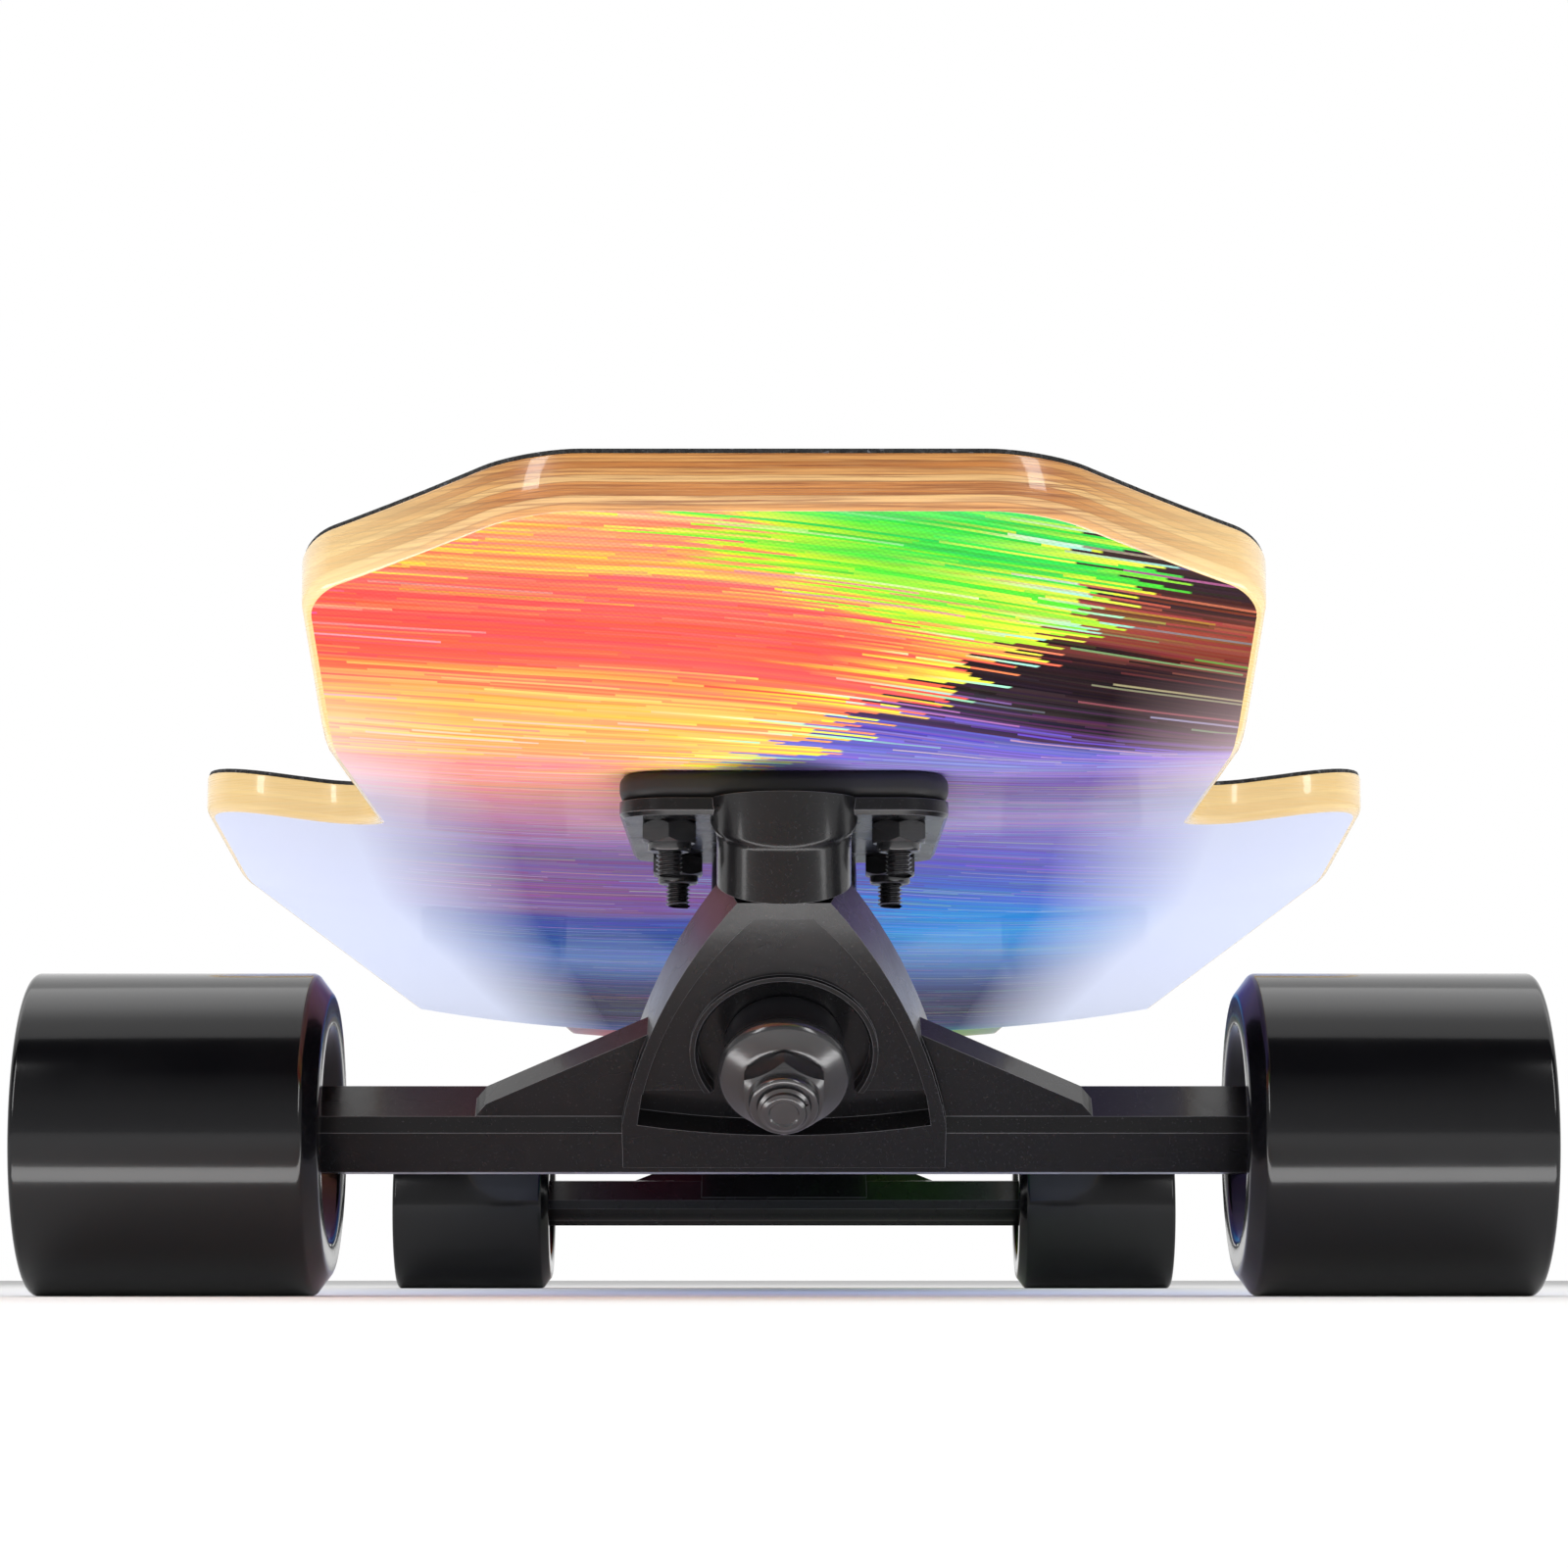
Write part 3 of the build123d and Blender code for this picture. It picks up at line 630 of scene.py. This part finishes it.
def boltPlaces():
    f = fastenerSizes
    return [(x, f["middleAhead"] + y) for x in (-f["spacingAcross"] / 2, f["spacingAcross"] / 2)
            for y in (-f["spacingAlong"] / 2, f["spacingAlong"] / 2)]


def addDeckFasteners(end):
    f = fastenerSizes
    bottom = f["plateUnder"] - f["nutHeight"] - f["end"]
    root = f["boltRadius"] - f["threadDepth"]
    bm = bmesh.new()
    turnAlongZ(bm, [(0.0, bottom), (root - 0.0004, bottom), (root, bottom + 0.0004),
                    (root, f["plateUnder"] - 0.001), (f["boltRadius"], f["plateUnder"]),
                    (f["boltRadius"], f["gripTop"] - f["headHeight"]),
                    (f["headRadius"], f["gripTop"] - 0.0002), (f["headRadius"] - 0.0002, f["gripTop"]),
                    (0.0, f["gripTop"])], steps=32)
    slots = bmesh.new()   # the cross that a driver goes into
    for turn in (0, math.pi / 2):
        cross = bmesh.ops.create_cube(slots, size=1.0)["verts"]
        size = Matrix.Diagonal((*f["crossSize"], 1))
        move(slots, Matrix.Translation((0, 0, f["gripTop"])) @ Matrix.Rotation(turn, 4, "Z") @ size, cross)
    mesh = appliedMesh("bolt", bm, slots)
    bolt = bmesh.new()
    bolt.from_mesh(mesh)
    turns = (f["nutHeight"] + f["end"] - 0.0012) / f["pitch"]
    threadAlongZ(bolt, f["boltRadius"], root - 0.00005, f["pitch"], bottom + 0.0004, turns)
    bolt.to_mesh(mesh)
    bolt.free()
    places = [truckMatrix(end) @ Matrix.Translation((x, y, 0)) for x, y in boltPlaces()]
    repeated(f"{end}_threaded_deck_bolts", mesh, places, "deck", "bolt_black", [f"{end}_deck_bolts"])
    nut = nutMesh(f["nutFlats"], f["boltRadius"] - 0.0002, f["nutHeight"], f["collar"])
    down = Matrix.Rotation(math.pi, 4, "X")
    seats = [place @ Matrix.Translation((0, 0, f["plateUnder"])) @ down for place in places]
    repeated(f"{end}_deck_lock_nuts", nut, seats, "deck", "bolt_black", [f"{end}_deck_nuts"])


def addAxleNuts(end):
    a = axleNutSizes
    nut = nutMesh(a["flats"], a["hole"], a["height"], a["collar"])
    seat = wheelSizes["coreOutside"] + a["washer"]
    seats = [wheelMatrix(end, side) @ Matrix.Translation((seat, 0, 0)) @ alongAxle for side in sides]
    repeated(f"{end}_axle_lock_nuts", nut, seats, f"{end}_hanger", "bright_steel", [f"{end}_axle_nuts"])


def addRiser(end):
    bm = copyOfNode(f"{end}_riser_pad")
    finishPiece(f"{end}_rubber_riser", bm, "deck", [f"{end}_riser_pad"],
                [finishes["riser_rubber"]], 40)


for end in ends:
    addCasting(f"{end}_hanger", f"{end}_hanger", f"{end}_cast_hanger", truckSizes["edgeRound"])
    addCasting(f"{end}_baseplate", "deck", f"{end}_cast_baseplate", truckSizes["plateRound"])
    addKingpinSet(end)
    addDeckFasteners(end)
    addAxleNuts(end)
    addRiser(end)
print("trucks made")

# The board is bent from a flat plate, and the grip tape with it.
deckSizes = dict(
    length=1.041,
    width=0.242,
    plateWidth=0.159,
    neckWidth=0.166,
    noseFlat=0.082,
    noseCorner=0.030,
    cutoutInboard=0.075,
    thickness=0.008,
    grip=0.0008,
    edgeRound=0.0016,      # round-over of the lower edge
    topRound=0.0004,
    radii=(0.026, 0.016, 0.013, 0.017),
    concaveFlat=0.062,
    concaveRise=0.0078,
    kickAngle=20.5,
    kickRadius=0.055,
    kickStart=0.0485,
    dropHeight=0.009,
    dropStart=0.080,
    dropLength=0.070,
    dropRadius=0.140,
    cutAlong=0.0075,       # spacing of the cuts that let the board bend
    cutAcross=0.0065,
)


def lowerLine(along):
    # Height and slope of the board's underside in the middle, for a distance from its centre.
    d = deckSizes
    away = abs(along)
    dropSlope = d["dropHeight"] / d["dropLength"]
    kickSlope = math.tan(math.radians(d["kickAngle"]))
    kickHalf = d["kickRadius"] * math.tan(math.radians(d["kickAngle"]) / 2)
    dropHalf = d["dropRadius"] * math.tan(math.atan(dropSlope) / 2)
    dropEnd = truckPlace["axleFromMiddle"] - d["dropStart"]
    bends = [
        (dropEnd - d["dropLength"], dropHalf, dropSlope),
        (dropEnd, dropHalf, -dropSlope),
        (truckPlace["axleFromMiddle"] + d["kickStart"] + kickHalf, kickHalf, kickSlope),
    ]
    height = truckPlace["mountHeight"] - d["dropHeight"]
    slope = 0.0
    for place, half, change in bends:
        past = away - place
        if past > half:
            height += change * past
            slope += change
        elif past > -half:
            height += change * (past + half) ** 2 / (4 * half)
            slope += change * (past + half) / (2 * half)
    return height, slope


def sideRise(across):
    d = deckSizes
    past = max(0.0, abs(across) - d["concaveFlat"] / 2)
    run = (d["width"] - d["concaveFlat"]) / 2
    radius = (run ** 2 + d["concaveRise"] ** 2) / (2 * d["concaveRise"])
    return radius - math.sqrt(radius ** 2 - past ** 2)


def flatBoard(low, high, inset=0.0):
    # The board's plan as a flat plate, its corners rounded.
    d = deckSizes
    end = d["length"] / 2 - inset
    shoulder = truckPlace["axleFromMiddle"] - d["cutoutInboard"]
    quarter = [
        (d["noseFlat"] / 2 - inset * 0.3, end),
        (d["plateWidth"] / 2 - inset, end - d["noseCorner"]),
        (d["neckWidth"] / 2 - inset, shoulder - inset),
        (d["width"] / 2 - inset, shoulder - inset),
    ]
    corners = [(x, y, r) for (x, y), r in zip(quarter, d["radii"])]
    right = corners + [(x, -y, r) for x, y, r in reversed(corners)]
    ring = right + [(-x, y, r) for x, y, r in reversed(right)]
    bm = bmesh.new()
    verts = [bm.verts.new((x, y, low)) for x, y, r in ring]
    bm.faces.new(verts)
    for vert, (x, y, radius) in zip(verts, ring):
        ways = [(edge.other_vert(vert).co - vert.co).normalized() for edge in vert.link_edges]
        half = math.acos(ways[0].dot(ways[1])) / 2
        bmesh.ops.bevel(bm, geom=[vert], affect="VERTICES", offset=radius / math.tan(half),
                        segments=10, profile=0.5, material=-1)
    bmesh.ops.recalc_face_normals(bm, faces=bm.faces[:])
    raised = bmesh.ops.extrude_face_region(bm, geom=bm.faces[:])["geom"]
    top = [v for v in raised if isinstance(v, bmesh.types.BMVert)]
    bmesh.ops.translate(bm, verts=top, vec=(0, 0, high - low))
    bmesh.ops.recalc_face_normals(bm, faces=bm.faces[:])
    return bm


def rimEdges(bm, height):
    return [e for e in bm.edges if all(abs(v.co.z - height) < 1e-6 for v in e.verts)]


def cutAcrossBoard(bm):
    # Cuts the plate into an even grid, so that it can bend.
    d = deckSizes
    halfLength, halfWidth = d["length"] / 2, d["width"] / 2
    countAlong = round(halfLength / d["cutAlong"])
    countAcross = round(halfWidth / d["cutAcross"])
    planes = [((0, halfLength * n / countAlong, 0), (0, 1, 0))
              for n in range(1 - countAlong, countAlong)]
    planes += [((halfWidth * n / countAcross, 0, 0), (1, 0, 0))
               for n in range(1 - countAcross, countAcross)]
    for place, normal in planes:
        bmesh.ops.bisect_plane(bm, geom=bm.verts[:] + bm.edges[:] + bm.faces[:], dist=1e-6,
                               plane_co=place, plane_no=normal)


def bendBoard(bm):
    for vert in bm.verts:
        height, slope = lowerLine(vert.co.y)
        vert.co.z = height + (sideRise(vert.co.x) + vert.co.z) * math.sqrt(1 + slope ** 2)


def boltCutter(extra):
    f = fastenerSizes
    cutter = bmesh.new()
    for end in ends:
        for x, y in boltPlaces():
            radius = f["headRadius"] + extra
            made = turnAlongZ(cutter, [(0.0, 0.07), (radius, 0.07), (radius, 0.12), (0.0, 0.12)], steps=32)
            move(cutter, truckMatrix(end) @ Matrix.Translation((x, y, 0)), made)
    return cutter


def addBoardLayer(name, low, high, inset, roundings, materials, node):
    bm = flatBoard(low, high, inset)
    flatHeight = bm.verts.layers.float.new("layerHeight")
    for height, radius, segments in roundings:
        bmesh.ops.bevel(bm, geom=rimEdges(bm, height), affect="EDGES", offset=radius,
                        segments=segments, profile=0.5, material=-1)
    cutAcrossBoard(bm)
    for vert in bm.verts:
        vert[flatHeight] = vert.co.z
    under = [face for face in bm.faces if all(v.co.z < low + 1e-6 for v in face.verts)]
    bendBoard(bm)
    if len(materials) > 1:
        for face in under:
            face.material_index = 1
    mesh = appliedMesh(name, bm, boltCutter(fastenerSizes["holeSpare"]))
    placePiece(name, mesh, "deck", [node], materials, 40)


# The board's edge: thin layers of maple and darker wood.
plyLooks = dict(
    layers=8,
    cream=screen(234, 188, 124),
    maple=screen(206, 134, 68),
    tan=screen(224, 168, 100),
    red=screen(188, 120, 60),
    brown=screen(138, 78, 36),
    glue=screen(132, 78, 38),
    sideGlow=screen(255, 224, 158),
)


def makePly():
    material, tree, shader = newMaterial("lacqueredPly", **{
        "Coat Weight": 0.8, "Coat Roughness": 0.05, "IOR": 1.5})
    height = addNode(tree, "Attribute", attribute_name="layerHeight").outputs["Fac"]
    wander = noise(tree, objectCoordinates(tree, scale=(1, 1, 4)), 22.0, 3.0)
    place = maths(tree, "MULTIPLY_ADD", height, plyLooks["layers"] / deckSizes["thickness"],
                  maths(tree, "MULTIPLY", wander, 0.9))
    step = maths(tree, "FRACT", place)
    number = addNode(tree, "TexWhiteNoise", noise_dimensions="1D")
    feed(tree, number.inputs["W"], maths(tree, "FLOOR", place))
    grain = noise(tree, objectCoordinates(tree, scale=(0.32, 0.32, 26)), 130.0, 4.0, 0.6)
    fine = noise(tree, objectCoordinates(tree, scale=(0.3, 0.3, 12)), 420.0, 3.0, 0.6)
    base = colourRamp(tree, number.outputs["Value"], [
        (0.0, plyLooks["cream"]), (0.45, plyLooks["tan"]), (0.8, plyLooks["maple"]), (1.0, plyLooks["red"])])
    colour = mixColour(tree, spread(tree, grain, 0.42, 0.68, 0.0, 0.9), base, plyLooks["brown"])
    colour = mixColour(tree, spread(tree, fine, 0.5, 0.8, 0.0, 0.35), colour, plyLooks["cream"])
    fromMiddle = maths(tree, "ABSOLUTE", maths(tree, "SUBTRACT", step, 0.5))
    colour = mixColour(tree, spread(tree, fromMiddle, 0.36, 0.5, 0.0, 0.55), colour, plyLooks["glue"])
    # painted glow: the ply edge turns pale towards the board's sides
    across = maths(tree, "ABSOLUTE", axes(tree)[0])
    pale = spread(tree, across, 0.042, 0.08, 0.0, 0.78)
    colour = mixColour(tree, pale, colour, plyLooks["sideGlow"])
    feed(tree, shader.inputs["Base Color"], colour)
    feed(tree, shader.inputs["Roughness"], spread(tree, grain, 0.3, 0.7, 0.22, 0.36))
    bump(tree, shader, grain, 0.00005, 0.5)
    return material


def makeGrit():
    material, tree, shader = newMaterial("blackGrit", **{"IOR": 1.6})
    place = objectCoordinates(tree)
    grit = addNode(tree, "TexVoronoi", feature="F1")
    feed(tree, grit.inputs["Vector"], place)
    grit.inputs["Scale"].default_value = 1500.0
    cloud = noise(tree, place, 30.0, 4.0)
    facet = addNode(tree, "SeparateColor")
    feed(tree, facet.inputs[0], grit.outputs["Color"])
    sparkle = spread(tree, facet.outputs[0], 0.93, 0.98)
    colour = mixColour(tree, cloud, screen(11, 11, 12), screen(18, 18, 19))
    colour = mixColour(tree, sparkle, colour, screen(84, 86, 92))
    feed(tree, shader.inputs["Base Color"], colour)
    feed(tree, shader.inputs["Roughness"], spread(tree, facet.outputs[1], 0.0, 1.0, 0.45, 0.9))
    bump(tree, shader, maths(tree, "SUBTRACT", 1.0, grit.outputs["Distance"]), 0.00028, 1.0)
    return material


# The streaked print on the underside: each list is a position along the board and its colour.
printLooks = dict(
    fall=0.2,            # streaks fall this much across the board
    fan=1.6,             # and fan out by this much
    jag=0.022,           # length of the ragged tips
    thread=0.00062,      # width of one streak
    dash=0.03,           # length over which its tone holds
    noseReach=(-0.52, -0.40),
    bodyReach=(-0.42, 0.52),
    bodyStart=(-0.424, -0.410),
    tipColour=screen(222, 236, 70),
    mint=screen(150, 236, 206),
    shade=screen(90, 50, 50),
    # pale colours and widths of a painted white glow at the board's sides
    noseFadeTo=screen(248, 214, 216),
    bodyFadeTo=screen(214, 220, 240),
    noseFadeAcross=(0.056, 0.09),
    bodyFadeAcross=(0.07, 0.118),
    dotScale=1150.0,
    dotColour=screen(60, 40, 60),
    noseWarm=[
        (0.00, screen(226, 176, 84)), (0.06, screen(250, 164, 112)), (0.13, screen(250, 140, 104)),
        (0.18, screen(254, 196, 74)), (0.22, screen(248, 120, 96)), (0.32, screen(244, 84, 74)),
        (0.45, screen(248, 96, 80)), (0.52, screen(250, 158, 84)), (0.60, screen(252, 178, 98)),
        (0.70, screen(250, 156, 112)), (0.82, screen(244, 140, 134)), (1.00, screen(236, 160, 176))],
    noseDark=[
        (0.00, screen(44, 36, 36)), (0.05, screen(70, 38, 34)), (0.12, screen(158, 78, 60)),
        (0.20, screen(124, 54, 46)), (0.25, screen(22, 17, 20)), (0.35, screen(18, 15, 19)),
        (0.41, screen(42, 39, 48)), (0.46, screen(72, 42, 76)), (0.51, screen(86, 78, 168)),
        (0.64, screen(122, 116, 194)), (1.00, screen(170, 160, 214))],
    green=[
        (0.0, screen(46, 214, 78)), (0.45, screen(98, 228, 58)), (0.8, screen(176, 236, 50)),
        (1.0, screen(226, 232, 52))],
    bodyLeft=[
        (0.00, screen(246, 160, 136)), (0.06, screen(236, 168, 176)), (0.11, screen(190, 140, 182)),
        (0.15, screen(128, 104, 160)), (0.19, screen(140, 92, 148)), (0.23, screen(76, 90, 166)),
        (0.28, screen(54, 86, 156)), (0.36, screen(84, 116, 178)), (0.44, screen(38, 58, 120)),
        (0.52, screen(24, 30, 74)), (0.62, screen(26, 30, 68)), (0.70, screen(50, 84, 150)),
        (0.78, screen(110, 70, 160)), (0.86, screen(210, 80, 120)), (0.93, screen(240, 104, 82)),
        (1.00, screen(250, 190, 90))],
    bodyRight=[
        (0.00, screen(120, 96, 170)), (0.06, screen(186, 172, 222)), (0.11, screen(132, 120, 200)),
        (0.15, screen(96, 108, 196)), (0.19, screen(48, 144, 222)), (0.24, screen(74, 158, 226)),
        (0.30, screen(84, 148, 206)), (0.38, screen(70, 104, 160)), (0.46, screen(38, 54, 104)),
        (0.56, screen(22, 30, 72)), (0.64, screen(28, 56, 108)), (0.72, screen(60, 190, 150)),
        (0.82, screen(120, 220, 90)), (0.91, screen(210, 230, 70)), (1.00, screen(250, 210, 80))],
)


def makePrint():
    look = printLooks
    material, tree, shader = newMaterial("streakPrint", **{
        "Coat Weight": 0.14, "Coat Roughness": 0.05, "Specular IOR Level": 0.0})
    x, y = axes(tree)[:2]
    bent = maths(tree, "MULTIPLY_ADD", maths(tree, "MULTIPLY", x, x), -look["fan"], y)
    across = maths(tree, "MULTIPLY_ADD", x, -look["fall"], bent)

    def streak(along, fine, seed, detail=2.0):
        place = addNode(tree, "CombineXYZ")
        feed(tree, place.inputs[0], maths(tree, "MULTIPLY", x, along))
        feed(tree, place.inputs[1], maths(tree, "MULTIPLY", across, fine))
        place.inputs[2].default_value = seed
        return noise(tree, place.outputs[0], 1.0, detail, 0.55)

    def chance(first, second, seed):
        place = addNode(tree, "CombineXYZ")
        for socket, value in zip(place.inputs, (first, second, seed)):
            feed(tree, socket, value)
        made = addNode(tree, "TexWhiteNoise", noise_dimensions="3D")
        feed(tree, made.inputs["Vector"], place.outputs[0])
        return made.outputs["Value"], made.outputs["Color"]

    def centred(value, reach):
        return maths(tree, "MULTIPLY_ADD", value, reach, -reach / 2)

    medium, broad = streak(9, 420, 3.7), streak(7, 60, 8.1)
    wander = maths(tree, "ADD", across, centred(streak(11, 45, 5.2), 0.004))
    thread = maths(tree, "FLOOR", maths(tree, "DIVIDE", wander, look["thread"]))   # one streak each
    tip, tipColour = chance(thread, 0.0, 1.0)
    shifted = maths(tree, "MULTIPLY_ADD", tip, 0.3, x)
    dash = maths(tree, "FLOOR", maths(tree, "DIVIDE", shifted, look["dash"]))
    tone, toneColour = chance(thread, dash, 4.0)
    jag = centred(tip, look["jag"])
    tall = maths(tree, "ADD", maths(tree, "ADD", across, centred(tone, 0.013)),
                 maths(tree, "ADD", centred(medium, 0.012), centred(broad, 0.03)))
    nose = spread(tree, tall, *look["noseReach"])
    warm = colourRamp(tree, nose, look["noseWarm"])
    dark = colourRamp(tree, nose, look["noseDark"])
    raggedX = maths(tree, "ADD", x, jag)

    greenEdge = spread(tree, raggedX, -0.04, 0.04, -0.524, -0.478, smooth=True)
    greenDepth = maths(tree, "SUBTRACT", greenEdge, maths(tree, "ADD", y, centred(tone, 0.012)))
    green = colourRamp(tree, spread(tree, greenDepth, 0.03, 0.0), look["green"])
    colour = mixColour(tree, spread(tree, greenDepth, 0.0, 0.003), warm, green)

    edge = spread(tree, y, -0.488, -0.43, 0.056, -0.012)
    beyond = maths(tree, "SUBTRACT", raggedX, edge)
    tips = maths(tree, "MULTIPLY", spread(tree, beyond, -0.034, -0.004), spread(tree, tone, 0.3, 0.5))
    colour = mixColour(tree, tips, colour, look["tipColour"])
    mint = maths(tree, "MULTIPLY", spread(tree, beyond, -0.02, -0.006), spread(tree, tone, 0.78, 0.8))
    colour = mixColour(tree, mint, colour, look["mint"])
    colour = mixColour(tree, spread(tree, beyond, -0.0003, 0.0003), colour, dark)

    body = spread(tree, tall, *look["bodyReach"])
    left = colourRamp(tree, body, look["bodyLeft"])
    right = colourRamp(tree, body, look["bodyRight"])
    half = spread(tree, maths(tree, "ADD", x, centred(tone, 0.05)), -0.012, 0.02)
    bodyColour = mixColour(tree, half, left, right)
    ragged = maths(tree, "ADD", y, centred(tip, 0.02))
    colour = mixColour(tree, spread(tree, ragged, *look["bodyStart"]), colour, bodyColour)

    colour = mixColour(tree, 0.3, colour, toneColour, "OVERLAY")
    odd = maths(tree, "MULTIPLY", spread(tree, tone, 0.86, 0.9), 0.3)
    colour = mixColour(tree, odd, colour, tipColour)
    shade = spread(tree, streak(16, 1500, 15.2), 0.35, 0.7, 0.0, 0.2)
    colour = mixColour(tree, shade, colour, look["shade"])
    # painted white glow: the print pales towards both sides of the body and of the nose
    away = maths(tree, "ABSOLUTE", x)
    bodySide = spread(tree, away, *look["bodyFadeAcross"], 0.0, 0.85, smooth=True)
    bodyGlow = maths(tree, "MULTIPLY", bodySide, spread(tree, y, -0.42, -0.34))
    noseSide = spread(tree, away, *look["noseFadeAcross"])
    noseGlow = maths(tree, "MULTIPLY", noseSide, spread(tree, y, -0.47, -0.40))
    pale = mixColour(tree, spread(tree, y, -0.46, -0.36), look["noseFadeTo"], look["bodyFadeTo"])
    colour = mixColour(tree, maths(tree, "MAXIMUM", bodyGlow, noseGlow), colour, pale)

    dots = addNode(tree, "TexVoronoi", feature="F1")   # the fine dots of the print, at the nose
    dots.inputs["Scale"].default_value = look["dotScale"]
    dots.inputs["Randomness"].default_value = 0.0
    feed(tree, dots.inputs["Vector"], objectCoordinates(tree, turn=(0, 0, math.radians(30))))
    dotted = spread(tree, dots.outputs["Distance"], 0.3, 0.65, 0.0, 0.22)
    dotted = maths(tree, "MULTIPLY", dotted, spread(tree, y, -0.46, -0.49))
    colour = mixColour(tree, dotted, colour, look["dotColour"])
    feed(tree, shader.inputs["Base Color"], colour)
    feed(tree, shader.inputs["Roughness"], spread(tree, medium, 0.3, 0.7, 0.22, 0.3))
    bump(tree, shader, noise(tree, objectCoordinates(tree), 130.0, 2.0), 0.00005, 0.3)
    return material


finishes["deck_maple"] = makePly()
finishes["grip_grit"] = makeGrit()
finishes["print"] = makePrint()


def addBoard():
    d = deckSizes
    addBoardLayer("maple_board", 0.0, d["thickness"], 0.0,
                  [(0.0, d["edgeRound"], 5), (d["thickness"], d["topRound"], 2)],
                  [finishes["deck_maple"], finishes["print"]], "deck")
    addBoardLayer("grit_sheet", d["thickness"], d["thickness"] + d["grip"], 0.0003,
                  [(d["thickness"] + d["grip"], 0.00025, 2)],
                  [finishes["grip_grit"]], "grip_tape")


addBoard()
print("board made")

keptFinishes = dict(
    axle="bright_steel",
    speed_rings="bright_steel",
    pivot_cup="bushing_urethane",
    bearing_outer_rings="bright_steel",
    bearing_inner_rings="bright_steel",
    bearing_balls="bright_steel",
    spacer="bright_steel",
)
for name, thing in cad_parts.items():
    kind = name.split("_", 1)[1] if name.startswith(("front_", "rear_")) else name
    kind = kind.replace("left_", "").replace("right_", "")
    finish = keptFinishes.get(kind)
    if finish:
        thing.data.materials.clear()
        thing.data.materials.append(finishes[finish])

studio = dict(
    floorSize=30.0,
    overheadPower=15.0,
    overheadSize=(3.2, 1.35),
    overheadPlace=(0, -0.16, 1.25),
    overheadTarget=(0, -0.16, 0),
    frontPower=4.0,
    frontSize=(2.6, 0.9),
    frontPlace=(0, -2.3, 0.42),
    frontTarget=(0, -0.4, 0.1),
    underPower=2.6,
    stripPower=5.0,
    stripSize=(0.26, 0.9),
    stripPlace=(0.85, -1.5, 0.8),    # and its mirror image
    stripTarget=(0, -0.4, 0.05),
    lowPower=0.105,
    lowSize=(0.34, 0.02),
    lowPlace=(0, -0.4445, 0.002),
    lowTarget=(0, -0.4445, 1.0),
    underSize=(1.0, 1.6),
    underPlace=(0, -0.5, 0.0015),
    underTarget=(0, -0.5, 1.0),
)
cameraLooks = dict(distance=1.1805, height=0.003, pitch=6.62, lens=98.1, sensor=36.0, nearest=0.002)


def addFloor():
    bm = bmesh.new()
    bmesh.ops.create_grid(bm, x_segments=2, y_segments=2, size=studio["floorSize"] / 2)
    mesh = bpy.data.meshes.new("floor")
    bm.to_mesh(mesh)
    bm.free()
    material, tree, shader = newMaterial("paleFloor", Roughness=0.9)
    cloud = noise(tree, objectCoordinates(tree), 3.0, 2.0)
    pale = mixColour(tree, cloud, (0.86, 0.86, 0.86), (0.89, 0.89, 0.89))
    feed(tree, shader.inputs["Base Color"], pale)
    mesh.materials.append(material)
    floor = bpy.data.objects.new("floor", mesh)
    bpy.context.scene.collection.objects.link(floor)


def addPanel(name, power, size, place, target, glossy=True):
    light = bpy.data.lights.new(name, "AREA")
    light.shape = "RECTANGLE"
    light.size, light.size_y = size
    light.energy = power
    lamp = bpy.data.objects.new(name, light)
    bpy.context.scene.collection.objects.link(lamp)
    lamp.location = place
    lamp.rotation_mode = "QUATERNION"
    lamp.rotation_quaternion = (Vector(target) - Vector(place)).to_track_quat("-Z", "Y")
    lamp.visible_camera = False
    lamp.visible_glossy = glossy


def addWorld():
    # White behind the object, dark above the camera, so that gloss black shows bands.
    world = bpy.data.worlds.new("studioSky")
    world.use_nodes = True
    bpy.context.scene.world = world
    tree = world.node_tree
    background = next(n for n in tree.nodes if n.type == "BACKGROUND")
    way = addNode(tree, "SeparateXYZ")
    feed(tree, way.inputs[0], addNode(tree, "TexCoord").outputs["Generated"])
    behind = spread(tree, way.outputs["Y"], -0.1, 0.25, smooth=True)
    front = colourRamp(tree, way.outputs["Z"], [
        (0.0, (0.5, 0.5, 0.5)), (0.35, (0.34, 0.34, 0.34)), (0.6, (0.14, 0.14, 0.14)),
        (0.68, (0.03, 0.03, 0.03)), (1.0, (0.05, 0.05, 0.05))])
    room = mixColour(tree, behind, front, (1.0, 1.0, 1.0))
    seen = addNode(tree, "LightPath").outputs["Is Camera Ray"]
    feed(tree, background.inputs["Color"], mixColour(tree, seen, room, (1.0, 1.0, 1.0)))


def addCamera():
    c = cameraLooks
    camera = bpy.data.cameras.new("camera")
    camera.lens = c["lens"]
    camera.sensor_width = c["sensor"]
    camera.clip_start = c["nearest"]
    holder = bpy.data.objects.new("camera", camera)
    bpy.context.scene.collection.objects.link(holder)
    holder.location = (0, -c["distance"], c["height"])
    holder.rotation_euler = (math.radians(90 + c["pitch"]), 0, 0)
    bpy.context.scene.camera = holder


bpy.context.scene.view_settings.view_transform = "Standard"
addFloor()
addWorld()
for panel, glossy in (("overhead", True), ("front", False), ("under", False), ("low", True)):
    addPanel(panel, studio[panel + "Power"], studio[panel + "Size"], studio[panel + "Place"],
             studio[panel + "Target"], glossy)
for way in (-1, 1):
    sideways, back, up = studio["stripPlace"]
    addPanel(f"strip{way}", studio["stripPower"], studio["stripSize"], (way * sideways, back, up),
             studio["stripTarget"])
addCamera()
print("studio made")
